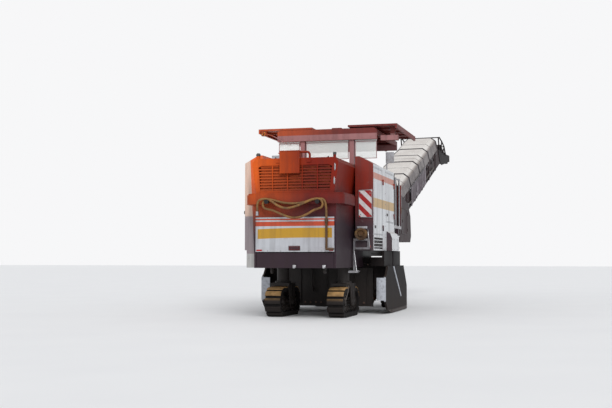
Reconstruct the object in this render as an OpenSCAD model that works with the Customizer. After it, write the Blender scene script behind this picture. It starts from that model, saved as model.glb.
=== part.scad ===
// Cold planer milling machine: half-lane, front-loading, on four track units.
// Millimetres, +X forward, +Y to the machine's left, +Z up, origin on the ground under the middle.
// Stations along the machine are measured forward from the rear face of the engine hood.

/* [Stance] */
// Distance from the origin back to the rear face of the hood
rear_dist = 7200; // [7100:10:7300]
// Station of the rear track columns
rear_track_x = 1350; // [1330:5:1370]
// Distance of each rear track from the centreline
rear_track_y = 654; // [645:1:656]
// Station of the front track columns
front_track_x = 5750; // [5700:5:5800]
// Distance of each front track from the centreline
front_track_y = 850; // [840:5:870]

/* [Track units] */
// Length over the shoes of one track
track_l = 1500; // [1440:10:1520]
// Height over the shoes of one track
track_h = 600; // [560:5:610]
// Width of the shoes
track_w = 330; // [300:5:340]
// Shoes on each track
track_shoes = 24; // [18:1:28]
// Height of the wearing pad on a shoe
pad_h = 48; // [30:2:55]
// Thickness of the chain and shoe plate under the pads
chain_t = 46; // [40:2:56]
// Radius of the lifting column
column_r = 98; // [80:2:100]
// Wall of the sleeve that holds a column
sleeve_wall = 28; // [20:1:30]

/* [Main frame] */
// Height of the underside of the side rails
rail_z = 1250; // [1245:5:1270]
// Height of one side rail
rail_h = 350; // [300:10:360]
// Distance of a rail's inner face from the centreline
rail_y = 480; // [470:5:490]
// Thickness of a rail
rail_t = 130; // [100:5:150]
// Station of the front end of the rails
rail_front = 6800; // [6700:10:6900]

/* [Engine hood] */
// Half width of the hood
hood_half = 833; // [828:1:840]
// Top of the hood
hood_top = 3163; // [3100:5:3180]
// Lower edge of the hood's side skirts
hood_low = 1005; // [980:5:1030]
// Length of the hood from its rear face to the platform bulkhead
hood_l = 2400; // [2390:5:2420]
// Sheet and frame thickness of the hood and cabinets
wall_t = 40; // [30:1:45]
// Half width of the air grille at its foot
grille_half = 770; // [740:5:780]
// Lower edge of the grille, on top of the ledge
grille_low = 2470; // [2460:5:2490]
// Upper edge of the grille
grille_high = 3050; // [3000:5:3060]
// Number of louvres in the grille
louvres = 9; // [6:1:11]
// How far the rounded ledge stands out behind and beside the hood
ledge_out = 100; // [80:5:120]
// Half width over the ledge
ledge_half = 1000; // [980:5:1010]
// Height of the ledge
ledge_h = 215; // [180:5:230]
// Lower edge of the striped panel
stripe_low = 1321; // [1319:1:1330]
// Height of the striped panel
stripe_h = 679; // [640:5:700]

/* [Side cabinets] */
// Half width over the cabinets
body_half = 1277; // [1270:1:1280]
// Station of the rear face of the left cabinet
cab_left_x = 700; // [680:10:800]
// Station of the rear face of the right cabinet
cab_right_x = 1400; // [1380:10:1420]
// Top of the outer side walls
side_top = 3150; // [3130:5:3160]
// Top of the cabinet roofs
roof_top = 3311; // [3290:5:3320]
// Underside of the cabinets
cab_low = 1360; // [1355:5:1370]
// Lower edge of the side doors
door_low = 1690; // [1680:5:1700]
// Width of the rear side door
door1_w = 900; // [850:10:905]
// Width of the platform gate
gate_w = 900; // [850:10:920]
// Running gap around doors
door_gap = 6; // [5:1:10]
// Radius of a door hinge's knuckles
knuckle_r = 14; // [12:1:15]
// Radius of the pins in the door hinges
pin_r = 8; // [6:1:9]

/* [Platform] */
// Top of the platform floor
floor_z = 1950; // [1900:10:1980]
// Station of the front end of the platform
platform_front = 4900; // [4850:10:4950]
// Station of the front end of the side walls
wall_front = 3710; // [3700:5:3750]

/* [Canopy] */
// Half width over the canopy's side extensions
canopy_half = 1580; // [1560:5:1590]
// Station of the canopy's rear edge
canopy_x = 2470; // [2460:5:2480]
// Length of the canopy
canopy_l = 2450; // [2350:10:2500]
// Top of the canopy's fixed middle
canopy_top = 4050; // [4040:5:4080]
// Distance of each canopy post from the centreline
post_y = 560; // [550:5:570]

/* [Milling drum] */
// Station of the drum's axis
drum_x = 3400; // [3390:5:3410]
// Height of the drum's axis, raised for travel
drum_z = 630; // [620:5:640]
// Radius of the drum's tube
drum_r = 350; // [330:5:355]
// Cutting radius over the tips of the picks
cut_r = 490; // [480:2:492]
// Working width of the drum
drum_w = 2000; // [1960:10:2010]
// Picks on each of the drum's flights
flight_picks = 14; // [10:1:20]
// Flights, half of them wound each way
flights = 6; // [4:2:8]

/* [Drum housing] */
// Station of the rear of the housing
house_x0 = 2600; // [2595:5:2610]
// Station of the front of the housing
house_x1 = 4150; // [4140:10:4200]
// Roof of the housing
house_top = 1215; // [1210:1:1220]
// Half width over the housing
house_half = 1330; // [1328:1:1332]
// Thickness of a side plate
side_plate_t = 40; // [30:1:42]
// Upward travel of a side plate
side_plate_up = 300; // [200:10:300]
// Upward travel of the scraper blade
scraper_up = 240; // [150:10:240]

/* [Conveyors] */
// Station of the discharge conveyor's slewing axis
slew_x = 7150; // [7140:5:7160]
// Slewing angle as parked, to the left positive
slew_deg = -4.5; // [-6:0.5:0]
// Rise of the discharge conveyor as parked
rise_deg = 22.5; // [20:0.5:24]
// Half width over the discharge conveyor's side plates
conv_half = 580; // [560:5:590]
// Height of the frame's underside on the slewing axis
conv_z0 = 1800; // [1790:5:1820]
// Vertical depth of the conveyor's frame
conv_depth = 560; // [540:5:580]
// Distance from the slewing axis to the head drum
conv_reach = 5950; // [5800:50:6100]
// Reach of the discharge hood past the head drum
hood_reach = 1400; // [1300:20:1460]
// Half width over the receiving conveyor
recv_half = 440; // [420:5:450]

/* [Hidden] */

$fn = 48;
seat = 0.3;          // clearance where separate pieces seat on each other
run_gap = 0.3;       // radial clearance of a column, rod or journal
dark = [0.33, 0.24, 0.26];
white = [0.8, 0.81, 0.83];
brown = [0.39, 0.22, 0.22];
steel = [0.2, 0.19, 0.2];
silver = [0.72, 0.72, 0.74];
grey = [0.55, 0.53, 0.56];
black = [0.08, 0.08, 0.08];
rust = [0.45, 0.33, 0.24];
tan_hose = [0.62, 0.46, 0.2];

// Station measured from the hood's rear face, as an X coordinate
function st(x) = x - rear_dist;

// Box between two corners, its first coordinate a station
module box(a, b) {
    translate([st(a[0]), a[1], a[2]])
        cube([b[0] - a[0], b[1] - a[1], b[2] - a[2]]);
}

// A side outline of stations and heights, t wide from y0 towards +Y
module side_profile(y0, t) {
    translate([st(0), y0 + t, 0])
        rotate([90, 0, 0])
            linear_extrude(t)
                children();
}

// A cross-section of widths and heights, t long from station x0 forward
module cross_profile(x0, t) {
    translate([st(x0), 0, 0])
        rotate([90, 0, 90])
            linear_extrude(t)
                children();
}

// A round bar across the machine from y0 to y1
module cross_bar(x, z, y0, y1, r) {
    translate([st(x), y1, z])
        rotate([90, 0, 0])
            cylinder(h = y1 - y0, r = r);
}

// Both sides of the machine
module both_sides() {
    for (m = [0, 1])
        mirror([0, m, 0])
            children();
}

// A rod between two points in the frame of its parent
module rod(a, b, r, fn = 20) {
    d = b - a;
    len = norm(d);
    translate(a)
        rotate([0, acos(d[2] / len), atan2(d[1], d[0])])
            cylinder(h = len, r = r, $fn = fn);
}

// Rectangle with its upper corners cut
function cut_rect(half, low, high, cx, cz) = [[-half, low], [half, low], [half, high - cz],
    [half - cx, high], [-half + cx, high], [-half, high - cz]];

// MAIN FRAME
sleeve_r = column_r + run_gap + sleeve_wall;
sleeve_low = 975;
sleeve_top = rail_z + rail_h;
rail_rear = 160;
eye_r = 32;          // bore of the towing and lashing eyes
eye_t = 40;
front_eye_z = 1130;
rear_eye_z = 955;     // below the hood's side skirts
front_beam_x = 6560;
nose_z = 1400;       // top of the slewing seat on the frame's nose
pivot_r = 70;        // slewing pin
table_rear = 140;    // the turntable's plate behind and ahead of the slewing pin
table_front = 220;
arm_in = conv_half + 8;
arm_t = 50;
// Station where the rails' tops have stepped down clear of the turntable's sweep
rail_low_x = slew_x - norm([table_front, arm_in + arm_t]) + 62;

module sleeve_at(x, y, hole) {
    r = hole ? column_r + run_gap : sleeve_r;
    h = hole ? sleeve_top - sleeve_low - 40 : sleeve_top - sleeve_low;
    translate([st(x), y, sleeve_low - (hole ? 1 : 0)])
        cylinder(h = h + (hole ? 1 : 0), r = r);
}

module column_spots() {
    for (s = [-1, 1]) {
        translate([rear_track_x, s * rear_track_y, 0]) children();
        translate([front_track_x, s * front_track_y, 0]) children();
    }
}

// An eye plate on a foot that bolts up under a rail
module lashing_eye(x, y, z) {
    difference() {
        union() {
            side_profile(y - eye_t / 2, eye_t)
                translate([x, z]) {
                    circle(r = eye_r * 2);
                    translate([-eye_r * 2, 0])
                        square([eye_r * 4, rail_z - z - seat]);
                }
            box([x - 90, y - rail_t / 2, rail_z - 22], [x + 90, y + rail_t / 2, rail_z - seat]);
        }
        cross_bar(x, z, y - eye_t, y + eye_t, eye_r);
    }
}

module lashing_eyes() color(steel) {
    for (s = [-1, 1]) {
        lashing_eye(260, s * (rail_y + rail_t / 2), rear_eye_z);
        lashing_eye(6690, s * (rail_y + rail_t / 2), front_eye_z);
    }
}

scraper_cyl_y = 330;
scraper_cyl_x = 2470;
scraper_barrel_low = 1010;
scraper_barrel_top = 1560;

module main_frame() color(steel) {
    difference() {
        union() {
            for (s = [-1, 1]) {
                y = s > 0 ? rail_y : -rail_y - rail_t;
                side_profile(y, rail_t)
                    polygon([[rail_rear, rail_z], [rail_front, rail_z], [rail_front, nose_z - 20],
                        [rail_low_x, nose_z], [rail_low_x - 140, rail_z + rail_h],
                        [rail_rear, rail_z + rail_h]]);
            }
            box([rail_rear, -rail_y, rail_z], [rail_rear + 120, rail_y, rail_z + rail_h]);
            box([2320, -rail_y, rail_z + 40], [2440, rail_y, rail_z + rail_h]);
            for (s = [-1, 1])
                box([front_track_x - 90, s > 0 ? rail_y : -front_track_y - 20, rail_z + 10],
                    [front_track_x + 90, s > 0 ? front_track_y + 20 : -rail_y, sleeve_top - 10]);
            for (x = [rear_track_x, front_track_x])
                for (s = [-1, 1])
                    sleeve_at(x, s * (x == rear_track_x ? rear_track_y : front_track_y), false);
            // nose that carries the slewing pin of the discharge conveyor
            box([front_beam_x, -rail_y, rail_z], [front_beam_x + 140, rail_y, nose_z - 40]);
            box([front_beam_x + 100, -300, rail_z + 10], [slew_x, 300, nose_z - 30]);
            translate([st(slew_x), 0, rail_z + 10])
                cylinder(h = nose_z - rail_z - 10, r = 300);
            // barrels of the scraper's lifting cylinders
            for (s = [-1, 1]) {
                translate([st(scraper_cyl_x), s * scraper_cyl_y, scraper_barrel_low])
                    cylinder(h = scraper_barrel_top - scraper_barrel_low, r = 45);
                box([2430, s * scraper_cyl_y - 35, rail_z + 60],
                    [scraper_cyl_x, s * scraper_cyl_y + 35, rail_z + 160]);
            }
        }
        for (x = [rear_track_x, front_track_x])
            for (s = [-1, 1])
                sleeve_at(x, s * (x == rear_track_x ? rear_track_y : front_track_y), true);
        translate([st(slew_x), 0, rail_z - 10])
            cylinder(h = 300, r = pivot_r + run_gap);
        for (s = [-1, 1])
            translate([st(scraper_cyl_x), s * scraper_cyl_y, scraper_barrel_low - 1])
                cylinder(h = scraper_barrel_top - scraper_barrel_low - 14, r = 22 + run_gap);
    }
}

// ENGINE AND COOLER
module engine_block() color(steel) {
    box([560, -400, 1680], [2050, 400, 2560]);
    for (s = [-1, 1])
        for (x = [700, 1780])
            box([x, s > 0 ? 400 : -rail_y - rail_t + 20, rail_z + rail_h],
                [x + 140, s > 0 ? rail_y + rail_t - 20 : -400, 1760]);
}

cooler_x = 130;
module cooler() color(steel) {
    // core, its frame and two fan rings, standing on two posts from the rails
    box([cooler_x, -680, 2300], [cooler_x + 160, 680, 2990]);
    for (s = [-1, 1]) {
        box([cooler_x + 20, s > 0 ? rail_y : -rail_y - 100, rail_z + rail_h],
            [cooler_x + 130, s > 0 ? rail_y + 100 : -rail_y, 2300]);
        translate([st(cooler_x), s * 330, 2660])
            rotate([0, -90, 0])
                difference() {
                    cylinder(h = 40, r = 290);
                    translate([0, 0, -1])
                        cylinder(h = 42, r = 265);
                }
    }
}

// HOOD
flare = 50;          // how much wider the grille housing is at its shoulders
shoulder = 3070;
flap_top = stripe_low - 19;
flap_t = 30;
flap_pin_r = 8;
flap_pin_l = 30;
module hood_section(t) {
    h = hood_half - t;
    polygon([[-h, hood_low - (t > 0 ? 10 : 0)], [h, hood_low - (t > 0 ? 10 : 0)],
        [h, grille_low - ledge_h], [grille_half + 25 - t, grille_low],
        [h + flare, shoulder], [h - 20, hood_top - t], [-h + 20, hood_top - t],
        [-h - flare, shoulder], [-grille_half - 25 + t, grille_low], [-h, grille_low - ledge_h]]);
}

module rear_hood() color(dark) {
    difference() {
        cross_profile(0, hood_l)
            hood_section(0);
        difference() {
            cross_profile(wall_t, hood_l)
                hood_section(wall_t);
            // front frame of the hood against the bulkhead
            box([hood_l - wall_t, -hood_half - flare, hood_top - 400],
                [hood_l, hood_half + flare, hood_top]);
        }
        // grille opening and the bay behind the lower flap
        cross_profile(-10, wall_t + 20)
            polygon(grille_outline(0));
        box([-10, -hood_half + wall_t, hood_low - 20], [wall_t + 10, hood_half - wall_t, stripe_low - 6]);
    }
    // pins that the lower flap hangs on
    for (y = [-hood_half + wall_t - flap_pin_l, hood_half - wall_t - 1])
        cross_bar(flap_t / 2, flap_top - flap_t / 2, y, y + flap_pin_l + 1, flap_pin_r);
}

function grille_outline(g) = [[-grille_half + 30 + g, grille_low + 25 + g],
    [grille_half - 30 - g, grille_low + 25 + g], [grille_half + 10 - g, grille_high - 60],
    [grille_half - 50 - g, grille_high - g], [-grille_half + 50 + g, grille_high - g],
    [-grille_half - 10 + g, grille_high - 60]];

module grille() color(dark) {
    pitch = (grille_high - grille_low - 60) / louvres;
    cross_profile(0, wall_t)
        difference() {
            polygon(grille_outline(seat));
            polygon(grille_outline(28));
        }
    for (i = [0:louvres - 1]) {
        z = grille_low + 50 + pitch * (i + 0.5);
        half = grille_half - 40 + 40 * (z - grille_low) / (grille_high - grille_low)
            - max(0, z - grille_high + 100) * 0.9;
        side_profile(-half, 2 * half)
            polygon([[4, z - 20], [12, z - 20], [wall_t - 2, z + 12], [wall_t - 10, z + 12]]);
    }
    for (y = [-460, -150, 150, 460])
        box([2, y - 9, grille_low + 40], [wall_t - 4, y + 9, grille_high - 20]);
}

module ledge_plan(grow) {
    r = 170;
    front = cab_left_x - seat;
    polygon(concat([[front, ledge_half + grow]],
        [for (a = [90:10:180]) [-ledge_out - grow + r + r * cos(a), ledge_half + grow - r + r * sin(a)]],
        [for (a = [180:10:270]) [-ledge_out - grow + r + r * cos(a), -ledge_half - grow + r + r * sin(a)]],
        [[cab_left_x + 200, -ledge_half - grow], [cab_left_x + 200, -hood_half - seat],
        [-seat, -hood_half - seat], [-seat, hood_half + seat], [front, hood_half + seat]]));
}

module ledge() color(dark) {
    low = grille_low - ledge_h;
    translate([st(0), 0, low])
        linear_extrude(ledge_h - 30)
            ledge_plan(0);
    translate([st(0), 0, low + ledge_h - 30])
        linear_extrude(30)
            ledge_plan(-18);
}

module stripe_panel() color(white) {
    half = 800;
    t = 20;
    difference() {
        union() {
            box([-t, -half, stripe_low], [-seat, half, stripe_low + stripe_h]);
            // bowed centre field
            translate([st(0), half - 65, 0])
                rotate([90, 0, 0])
                    linear_extrude(2 * half - 130)
                        polygon([[-t, stripe_low + 30], [-t - 10, stripe_low + 90],
                            [-t - 14, stripe_low + stripe_h / 2], [-t - 10, stripe_low + stripe_h - 90],
                            [-t, stripe_low + stripe_h - 30]]);
        }
        // recessed pull
        box([-t - 20, -120, stripe_low + 36], [-t + 8, 120, stripe_low + 110]);
    }
}

module rear_flap() color(dark) {
    half = hood_half - wall_t - 8;
    difference() {
        box([0, -half, hood_low], [flap_t, half, flap_top]);
        box([14, -half + 60, hood_low + 40], [flap_t + 10, half - 60, flap_top - 50]);
        for (y = [-half - 10, half - flap_pin_l])
            cross_bar(flap_t / 2, flap_top - flap_t / 2, y, y + flap_pin_l + 10, flap_pin_r + run_gap);
    }
    // over-centre latches on the lower edge
    for (y = [0, -600])
        box([-16, y - 28, hood_low + 4], [0, y + 28, hood_low + 70]);
}

module exhaust_box() color(dark) {
    difference() {
        box([-70, -114, 2860], [-seat, 289, 3300]);
        box([-60, -100, 3200], [-10, 275, 3310]);
    }
    box([-seat, -114, hood_top + seat], [160, 289, 3300]);
    // flap at its upper left edge
    box([20, 289, 3262], [100, 350, 3276]);
}

module hood_fittings() color(dark) {
    // bent pipe on the hood's top, beacon stub, knob and two latches of the grille
    translate([st(60), -290, hood_top + seat])
        cylinder(h = 60, r = 22);
    translate([st(60), -230, hood_top + 60 + seat])
        rotate([90, 0, 90])
            rotate([0, 0, 90])
                rotate_extrude(angle = 90)
                    translate([60, 0])
                        circle(r = 22);
    cross_bar(60, hood_top + 120 + seat, -231, -114 - seat, 22);
    translate([st(60), -hood_half + 40, hood_top + seat])
        cylinder(h = 50, r = 30);
    translate([st(60), hood_half - 60, hood_top + seat])
        cylinder(h = 60, r = 38);
    for (y = [340, -290])
        box([-22, y - 40, 3075], [-seat, y + 40, 3115]);
}

// CABINETS: hollow, open to the inner side of their doors
cab_inner = hood_half + flare + 12;
function cab_section(t) = [[cab_inner + t, cab_low + t], [body_half - t, cab_low + t],
    [body_half - t, side_top - t], [body_half - 290 - t * 0.5, roof_top - t], [cab_inner + t, roof_top - t]];
door1_x = hood_l - 40 - door1_w;
knuckle_h = 60;
knuckle_out = 20;     // from the body's side out to the hinge's axis
strap_l = 34;

// One leaf of a hinge at station x, on the body (side 1) or on the door (side -1)
module hinge_leaf(x, z, side) {
    y = body_half + knuckle_out;
    translate([st(x), 0, z])
        linear_extrude(knuckle_h)
            polygon([[0, y + 10], [side * strap_l, body_half + 8], [side * strap_l, body_half - 1],
                [side * (door_gap / 2 + 0.5), body_half - 1], [0, y - 10]]);
    translate([st(x), y, z])
        cylinder(h = knuckle_h, r = knuckle_r);
}

function hinge_heights(low, high) = [low + 150, high - 200 - knuckle_h];

// Lower leaves with the pins that the door's leaves sit on
module body_hinges(x, low, high) {
    for (z = hinge_heights(low, high)) {
        hinge_leaf(x, z - knuckle_h - seat, 1);
        translate([st(x), body_half + knuckle_out, z - seat - 10])
            cylinder(h = knuckle_h + 10 + seat, r = pin_r);
    }
}

module cabinet(x0, tail) {
    difference() {
        cross_profile(x0, hood_l - x0)
            polygon(cab_section(0));
        cross_profile(x0 + wall_t, hood_l - x0 - 2 * wall_t)
            polygon(cab_section(wall_t));
        box([door1_x - door_gap, body_half - wall_t - 5, door_low - door_gap],
            [door1_x + door1_w + door_gap, body_half + 5, side_top - 60 + door_gap]);
        // lower bay with its louvred step
        box([door1_x, body_half - wall_t - 5, cab_low + 30],
            [door1_x + door1_w, body_half + 5, door_low - 60]);
    }
    for (z = [cab_low + 70, cab_low + 140, cab_low + 210])
        box([door1_x, body_half - 30, z], [door1_x + door1_w, body_half - 4, z + 14]);
    body_hinges(door1_x + door1_w + door_gap / 2, door_low, door_top);
    // skirt behind the hood's ledge
    if (tail > 0)
        box([x0, hood_half + seat, hood_low], [x0 + wall_t, body_half - 40, cab_low]);
}

module cabinet_left() color(white) cabinet(cab_left_x, 1);
module cabinet_right() color(white) mirror([0, 1, 0]) cabinet(cab_right_x, 0);

module door_panel(x, w, low, high) {
    difference() {
        union() {
            box([x, body_half - wall_t, low], [x + w, body_half, high]);
            for (z = hinge_heights(low, high))
                hinge_leaf(x + w + door_gap / 2, z, -1);
        }
        for (z = hinge_heights(low, high))
            translate([st(x + w + door_gap / 2), body_half + knuckle_out, z - 5])
                cylinder(h = knuckle_h + 10, r = pin_r + run_gap);
        box([x + 60, body_half - wall_t - 5, low + 60], [x + w - 60, body_half - 14, high - 60]);
        box([x + 70, body_half - 12, low + 130], [x + 170, body_half + 5, low + 190]);
    }
}

door_top = side_top - 60;
module door_left() color(white) door_panel(door1_x, door1_w, door_low, door_top);
module door_right() color(white) mirror([0, 1, 0]) door_panel(door1_x, door1_w, door_low, door_top);

gate_x = wall_front - 60 - gate_w;
module gate_left() color(white) door_panel(gate_x, gate_w, floor_z + 40, door_top);
module gate_right() color(white) mirror([0, 1, 0]) door_panel(gate_x, gate_w, floor_z + 40, door_top);

// Outer fairings over the side plates' cylinders, each with its barrel inside
plate_cyl_x = 3250;
plate_cyl_y = 1318;
fairing_out = 1400;
module fairing() {
    difference() {
        cross_profile(2800, 850)
            polygon([[body_half + seat, cab_low], [fairing_out, cab_low], [fairing_out, 1640],
                [fairing_out - 40, 1740], [body_half + seat, 1790]]);
        cross_profile(2790, 870)
            polygon([[body_half - 1, cab_low - 10], [fairing_out - 16, cab_low - 10],
                [fairing_out - 16, 1635], [fairing_out - 50, 1720], [body_half - 1, 1765]]);
    }
    for (x = [2800, 3634])
        cross_profile(x, 16)
            polygon([[body_half + seat, cab_low], [fairing_out, cab_low], [fairing_out, 1640],
                [fairing_out - 40, 1740], [body_half + seat, 1790]]);
    difference() {
        union() {
            translate([st(plate_cyl_x), plate_cyl_y, cab_low + 10])
                cylinder(h = 370, r = 36);
            box([plate_cyl_x - 30, plate_cyl_y, cab_low + 260],
                [plate_cyl_x + 30, fairing_out - 10, cab_low + 300]);
        }
        translate([st(plate_cyl_x), plate_cyl_y, cab_low])
            cylinder(h = 366, r = 20 + run_gap);
    }
}
module fairings() color(white) both_sides() fairing();

module warning_board() color("red")
    box([cab_right_x - 14, -1252, 2040], [cab_right_x - seat, -970, 2604]);

// PLATFORM
module bulkhead() color(dark)
    box([hood_l + seat, -body_half + 45, floor_z], [hood_l + 45, body_half - 45, side_top]);

module platform() color(dark) {
    box([hood_l + seat, -body_half + 45, floor_z - 60], [platform_front, body_half - 45, floor_z]);
    both_sides() {
        // side wall around the gate
        difference() {
            box([hood_l + seat, body_half - wall_t, cab_low], [wall_front, body_half, side_top]);
            box([gate_x - door_gap, body_half - wall_t - 5, floor_z + 40 - door_gap],
                [gate_x + gate_w + door_gap, body_half + 5, door_top + door_gap]);
        }
        body_hinges(gate_x + gate_w + door_gap / 2, floor_z + 40, door_top);
        box([hood_l + seat, body_half - 46, floor_z - 60], [wall_front, body_half - 39, floor_z]);
        // beams from the floor to the main frame
        box([2500, rail_y, rail_z + rail_h], [4860, rail_y + 100, floor_z - 60]);
        // ladder below the entry
        for (z = [1420, 1690])
            box([3790, 1180, z], [4290, body_half + 20, z + 30]);
        for (x = [3760, 4290])
            box([x, 1200, 1400], [x + 30, body_half, floor_z - 60]);
    }
    // front wall of the platform
    box([platform_front - 40, -body_half + 45, floor_z], [platform_front, body_half - 45, 2950]);
}

module consoles() color(black) {
    both_sides() {
        difference() {
            side_profile(760, 380)
                polygon([[4380, floor_z + seat], [4860 - seat, floor_z + seat], [4860 - seat, 2960],
                    [4700, 3060], [4330, 2900], [4330, 2820]]);
            box([4360, 790, 2300], [4480, 1110, 2780]);
        }
        box([4640, 880, 2990], [4680, 1080, 3220]);
    }
}

stool_x = 3350;
stool_y = 780;
stool_post_h = 380;
stool_half = 230;
module seats() color(black) both_sides() {
    plate_z = floor_z + stool_post_h;
    cushion_z = plate_z + 40;
    back_z = cushion_z + 110;
    translate([st(stool_x), stool_y, floor_z + seat])
        cylinder(h = stool_post_h, r = 60);
    translate([st(stool_x), stool_y, plate_z])
        cylinder(h = 40, r = 180);
    box([stool_x - 240, stool_y - stool_half, cushion_z], [stool_x + 250, stool_y + stool_half, back_z]);
    side_profile(stool_y - stool_half + 10, 2 * stool_half - 20)
        polygon([[stool_x - 240, back_z], [stool_x - 130, back_z], [stool_x - 220, back_z + 550],
            [stool_x - 300, back_z + 550]]);
}

post_bar_r = 20;
top_bar_r = 17;
module rails() color(silver) both_sides() {
    // handrails beside the entry and along the platform's side
    y = body_half - 80;
    for (x = [3790, 4320, 4780])
        translate([st(x), y, floor_z + seat])
            cylinder(h = 1150, r = post_bar_r);
    rod([st(3790), y, floor_z + 1120], [st(3790) - 60, y, floor_z + 1180], top_bar_r);
    rod([st(4320), y, floor_z + 1120], [st(4780), y, floor_z + 1120], top_bar_r);
}

// CANOPY
post_w = 100;
post_d = 220;
post_x = canopy_x + 40;
post_low = 2500;
beam_low = 3800;
beam_h = 150;
sleeve_gap = 0.3;
sleeve_t = 14;
module post_sleeves() color(dark) both_sides() {
    difference() {
        box([post_x - sleeve_gap - sleeve_t, post_y - post_w / 2 - sleeve_gap - sleeve_t, floor_z + seat],
            [post_x + post_d + sleeve_gap + sleeve_t, post_y + post_w / 2 + sleeve_gap + sleeve_t, 3260]);
        box([post_x - sleeve_gap, post_y - post_w / 2 - sleeve_gap, floor_z + 20],
            [post_x + post_d + sleeve_gap, post_y + post_w / 2 + sleeve_gap, 3270]);
    }
}

beam_half = 1135;
canopy_skin = 8;
canopy_ribs = 4;
function canopy_section(t) = [[-beam_half + t, beam_low + beam_h - (t > 0 ? 1 : 0)],
    [beam_half - t, beam_low + beam_h - (t > 0 ? 1 : 0)], [beam_half - t, canopy_top - 40 - t / 2],
    [beam_half - 60 - t / 2, canopy_top - t], [-beam_half + 60 + t / 2, canopy_top - t],
    [-beam_half + t, canopy_top - 40 - t / 2]];

module canopy_frame() color(brown) {
    both_sides()
        box([post_x, post_y - post_w / 2, post_low], [post_x + post_d, post_y + post_w / 2, beam_low]);
    for (x = [canopy_x, canopy_x + canopy_l - 100])
        box([x, -beam_half, beam_low], [x + 100, beam_half, beam_low + beam_h]);
    both_sides() {
        box([canopy_x, beam_half - 60, beam_low + beam_h - 50],
            [canopy_x + canopy_l, beam_half, beam_low + beam_h]);
        box([post_x, post_y - post_w / 2, beam_low],
            [canopy_x + canopy_l - 50, post_y + post_w / 2, beam_low + beam_h]);
    }
    // pressed middle panel, open below, on cross ribs
    difference() {
        cross_profile(canopy_x, canopy_l)
            polygon(canopy_section(0));
        cross_profile(canopy_x + canopy_skin, canopy_l - 2 * canopy_skin)
            polygon(canopy_section(canopy_skin));
    }
    for (i = [1:canopy_ribs])
        box([canopy_x + i * canopy_l / (canopy_ribs + 1) - 20, -beam_half + 4, beam_low + beam_h - 5],
            [canopy_x + i * canopy_l / (canopy_ribs + 1) + 20, beam_half - 4, canopy_top - 42]);
    for (i = [1:canopy_ribs])
        box([canopy_x + i * canopy_l / (canopy_ribs + 1) - 12, -beam_half + 80, canopy_top - 43],
            [canopy_x + i * canopy_l / (canopy_ribs + 1) + 12, beam_half - 80, canopy_top - 2]);
    box([canopy_x + 20, -330, canopy_top - 1], [canopy_x + 150, -120, canopy_top + 22]);
}

ext_t = 42;
ext_skin = 6;
ext_rim = 30;
ext_bays = 4;
ext_in_left = 330;
ext_in_right = 485;
module extension(inner, lift) {
    z = canopy_top + lift;
    bay = (canopy_l - (ext_bays + 1) * ext_rim) / ext_bays;
    difference() {
        box([canopy_x, inner, z], [canopy_x + canopy_l, canopy_half, z + ext_t]);
        // bays open below between the rims and ribs
        for (i = [0:ext_bays - 1])
            box([canopy_x + ext_rim + i * (bay + ext_rim), inner + ext_rim, z - 1],
                [canopy_x + (i + 1) * (bay + ext_rim), canopy_half - 60, z + ext_t - ext_skin]);
    }
    // turned-down outer edge and rolled side curtain
    box([canopy_x, canopy_half - 40, z - 60], [canopy_x + canopy_l, canopy_half, z + 1]);
    // runners on the middle panel's shoulder
    for (x = [canopy_x + 260, canopy_x + canopy_l - 320])
        box([x, inner + 15, canopy_top + seat], [x + 60, 1060, z + ext_t - ext_skin + 1]);
}
module extension_left() color(brown) {
    extension(ext_in_left, 6);
    // work lamp cluster at the rear corner
    box([canopy_x + 10, 1400, canopy_top - 100], [canopy_x + 110, 1520, canopy_top + 7]);
}
module extension_right() color(brown) mirror([0, 1, 0]) {
    extension(ext_in_right, 30);
    box([canopy_x + 140, 1190, canopy_top - 270], [canopy_x + 300, canopy_half - 10, canopy_top - 160]);
    box([canopy_x + 200, 1400, canopy_top - 161], [canopy_x + 240, 1500, canopy_top + 31]);
}

pane_t = 8;
module rear_panes() color([0.8, 0.85, 0.85, 0.4]) {
    // hung from the rear beam, clear of the post sleeves when the canopy is down
    box([post_x + 30, -486, 3380], [post_x + 30 + pane_t, 486, beam_low - seat]);
    both_sides()
        box([post_x + 30, 634, 3380], [post_x + 30 + pane_t, 1120, beam_low - seat]);
}

// MILLING DRUM AND ITS HOUSING
journal_r = 110;
house_in = drum_w / 2 + 30;
module house_outline(g) {
    polygon([[house_x0 + g, 520], [house_x0 + 240, 330 - g], [house_x1 - 240, 330 - g], [house_x1 - g, 560],
        [house_x1 - g, house_top], [house_x0 + g, house_top]]);
}

module drum_housing() color(dark) {
    difference() {
        union() {
            // boxed side walls
            both_sides()
                side_profile(house_in, house_half - house_in)
                    house_outline(0);
            // roof and front wall
            box([house_x0, -house_in, house_top - 40], [house_x1, house_in, house_top]);
            box([house_x1 - 50, -house_in, 420], [house_x1, house_in, house_top]);
            // upper rear wall above the scraper blade
            box([house_x0, -house_in, 900], [house_x0 + 40, house_in, house_top]);
            // seats under the main frame's rails
            both_sides()
                box([house_x0 + 100, rail_y, house_top - 1], [house_x1 - 100, rail_y + rail_t, rail_z]);
            // skirt between the housing and the cabinets
            both_sides()
                box([house_x0 - 340, house_in + 12, cab_low - 330],
                    [house_x0 + 10, house_half - 10, cab_low - 140]);
            both_sides()
                box([house_x0 - 340, house_half - 50, house_top - 190],
                    [house_x1, house_half, cab_low - seat]);
        }
        cross_bar(drum_x, drum_z, -house_half - 10, house_half + 10, journal_r + run_gap);
        // mouth towards the receiving conveyor
        box([house_x1 - 60, -recv_half - 40, 410], [house_x1 + 10, recv_half + 40, 860]);
        // channels for the rods of the side plates
        for (m = [0, 1])
            mirror([0, m, 0])
                box([plate_cyl_x - 60, house_half - 42, 300],
                    [plate_cyl_x + 60, house_half + 10, cab_low + 10]);
    }
}

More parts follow.
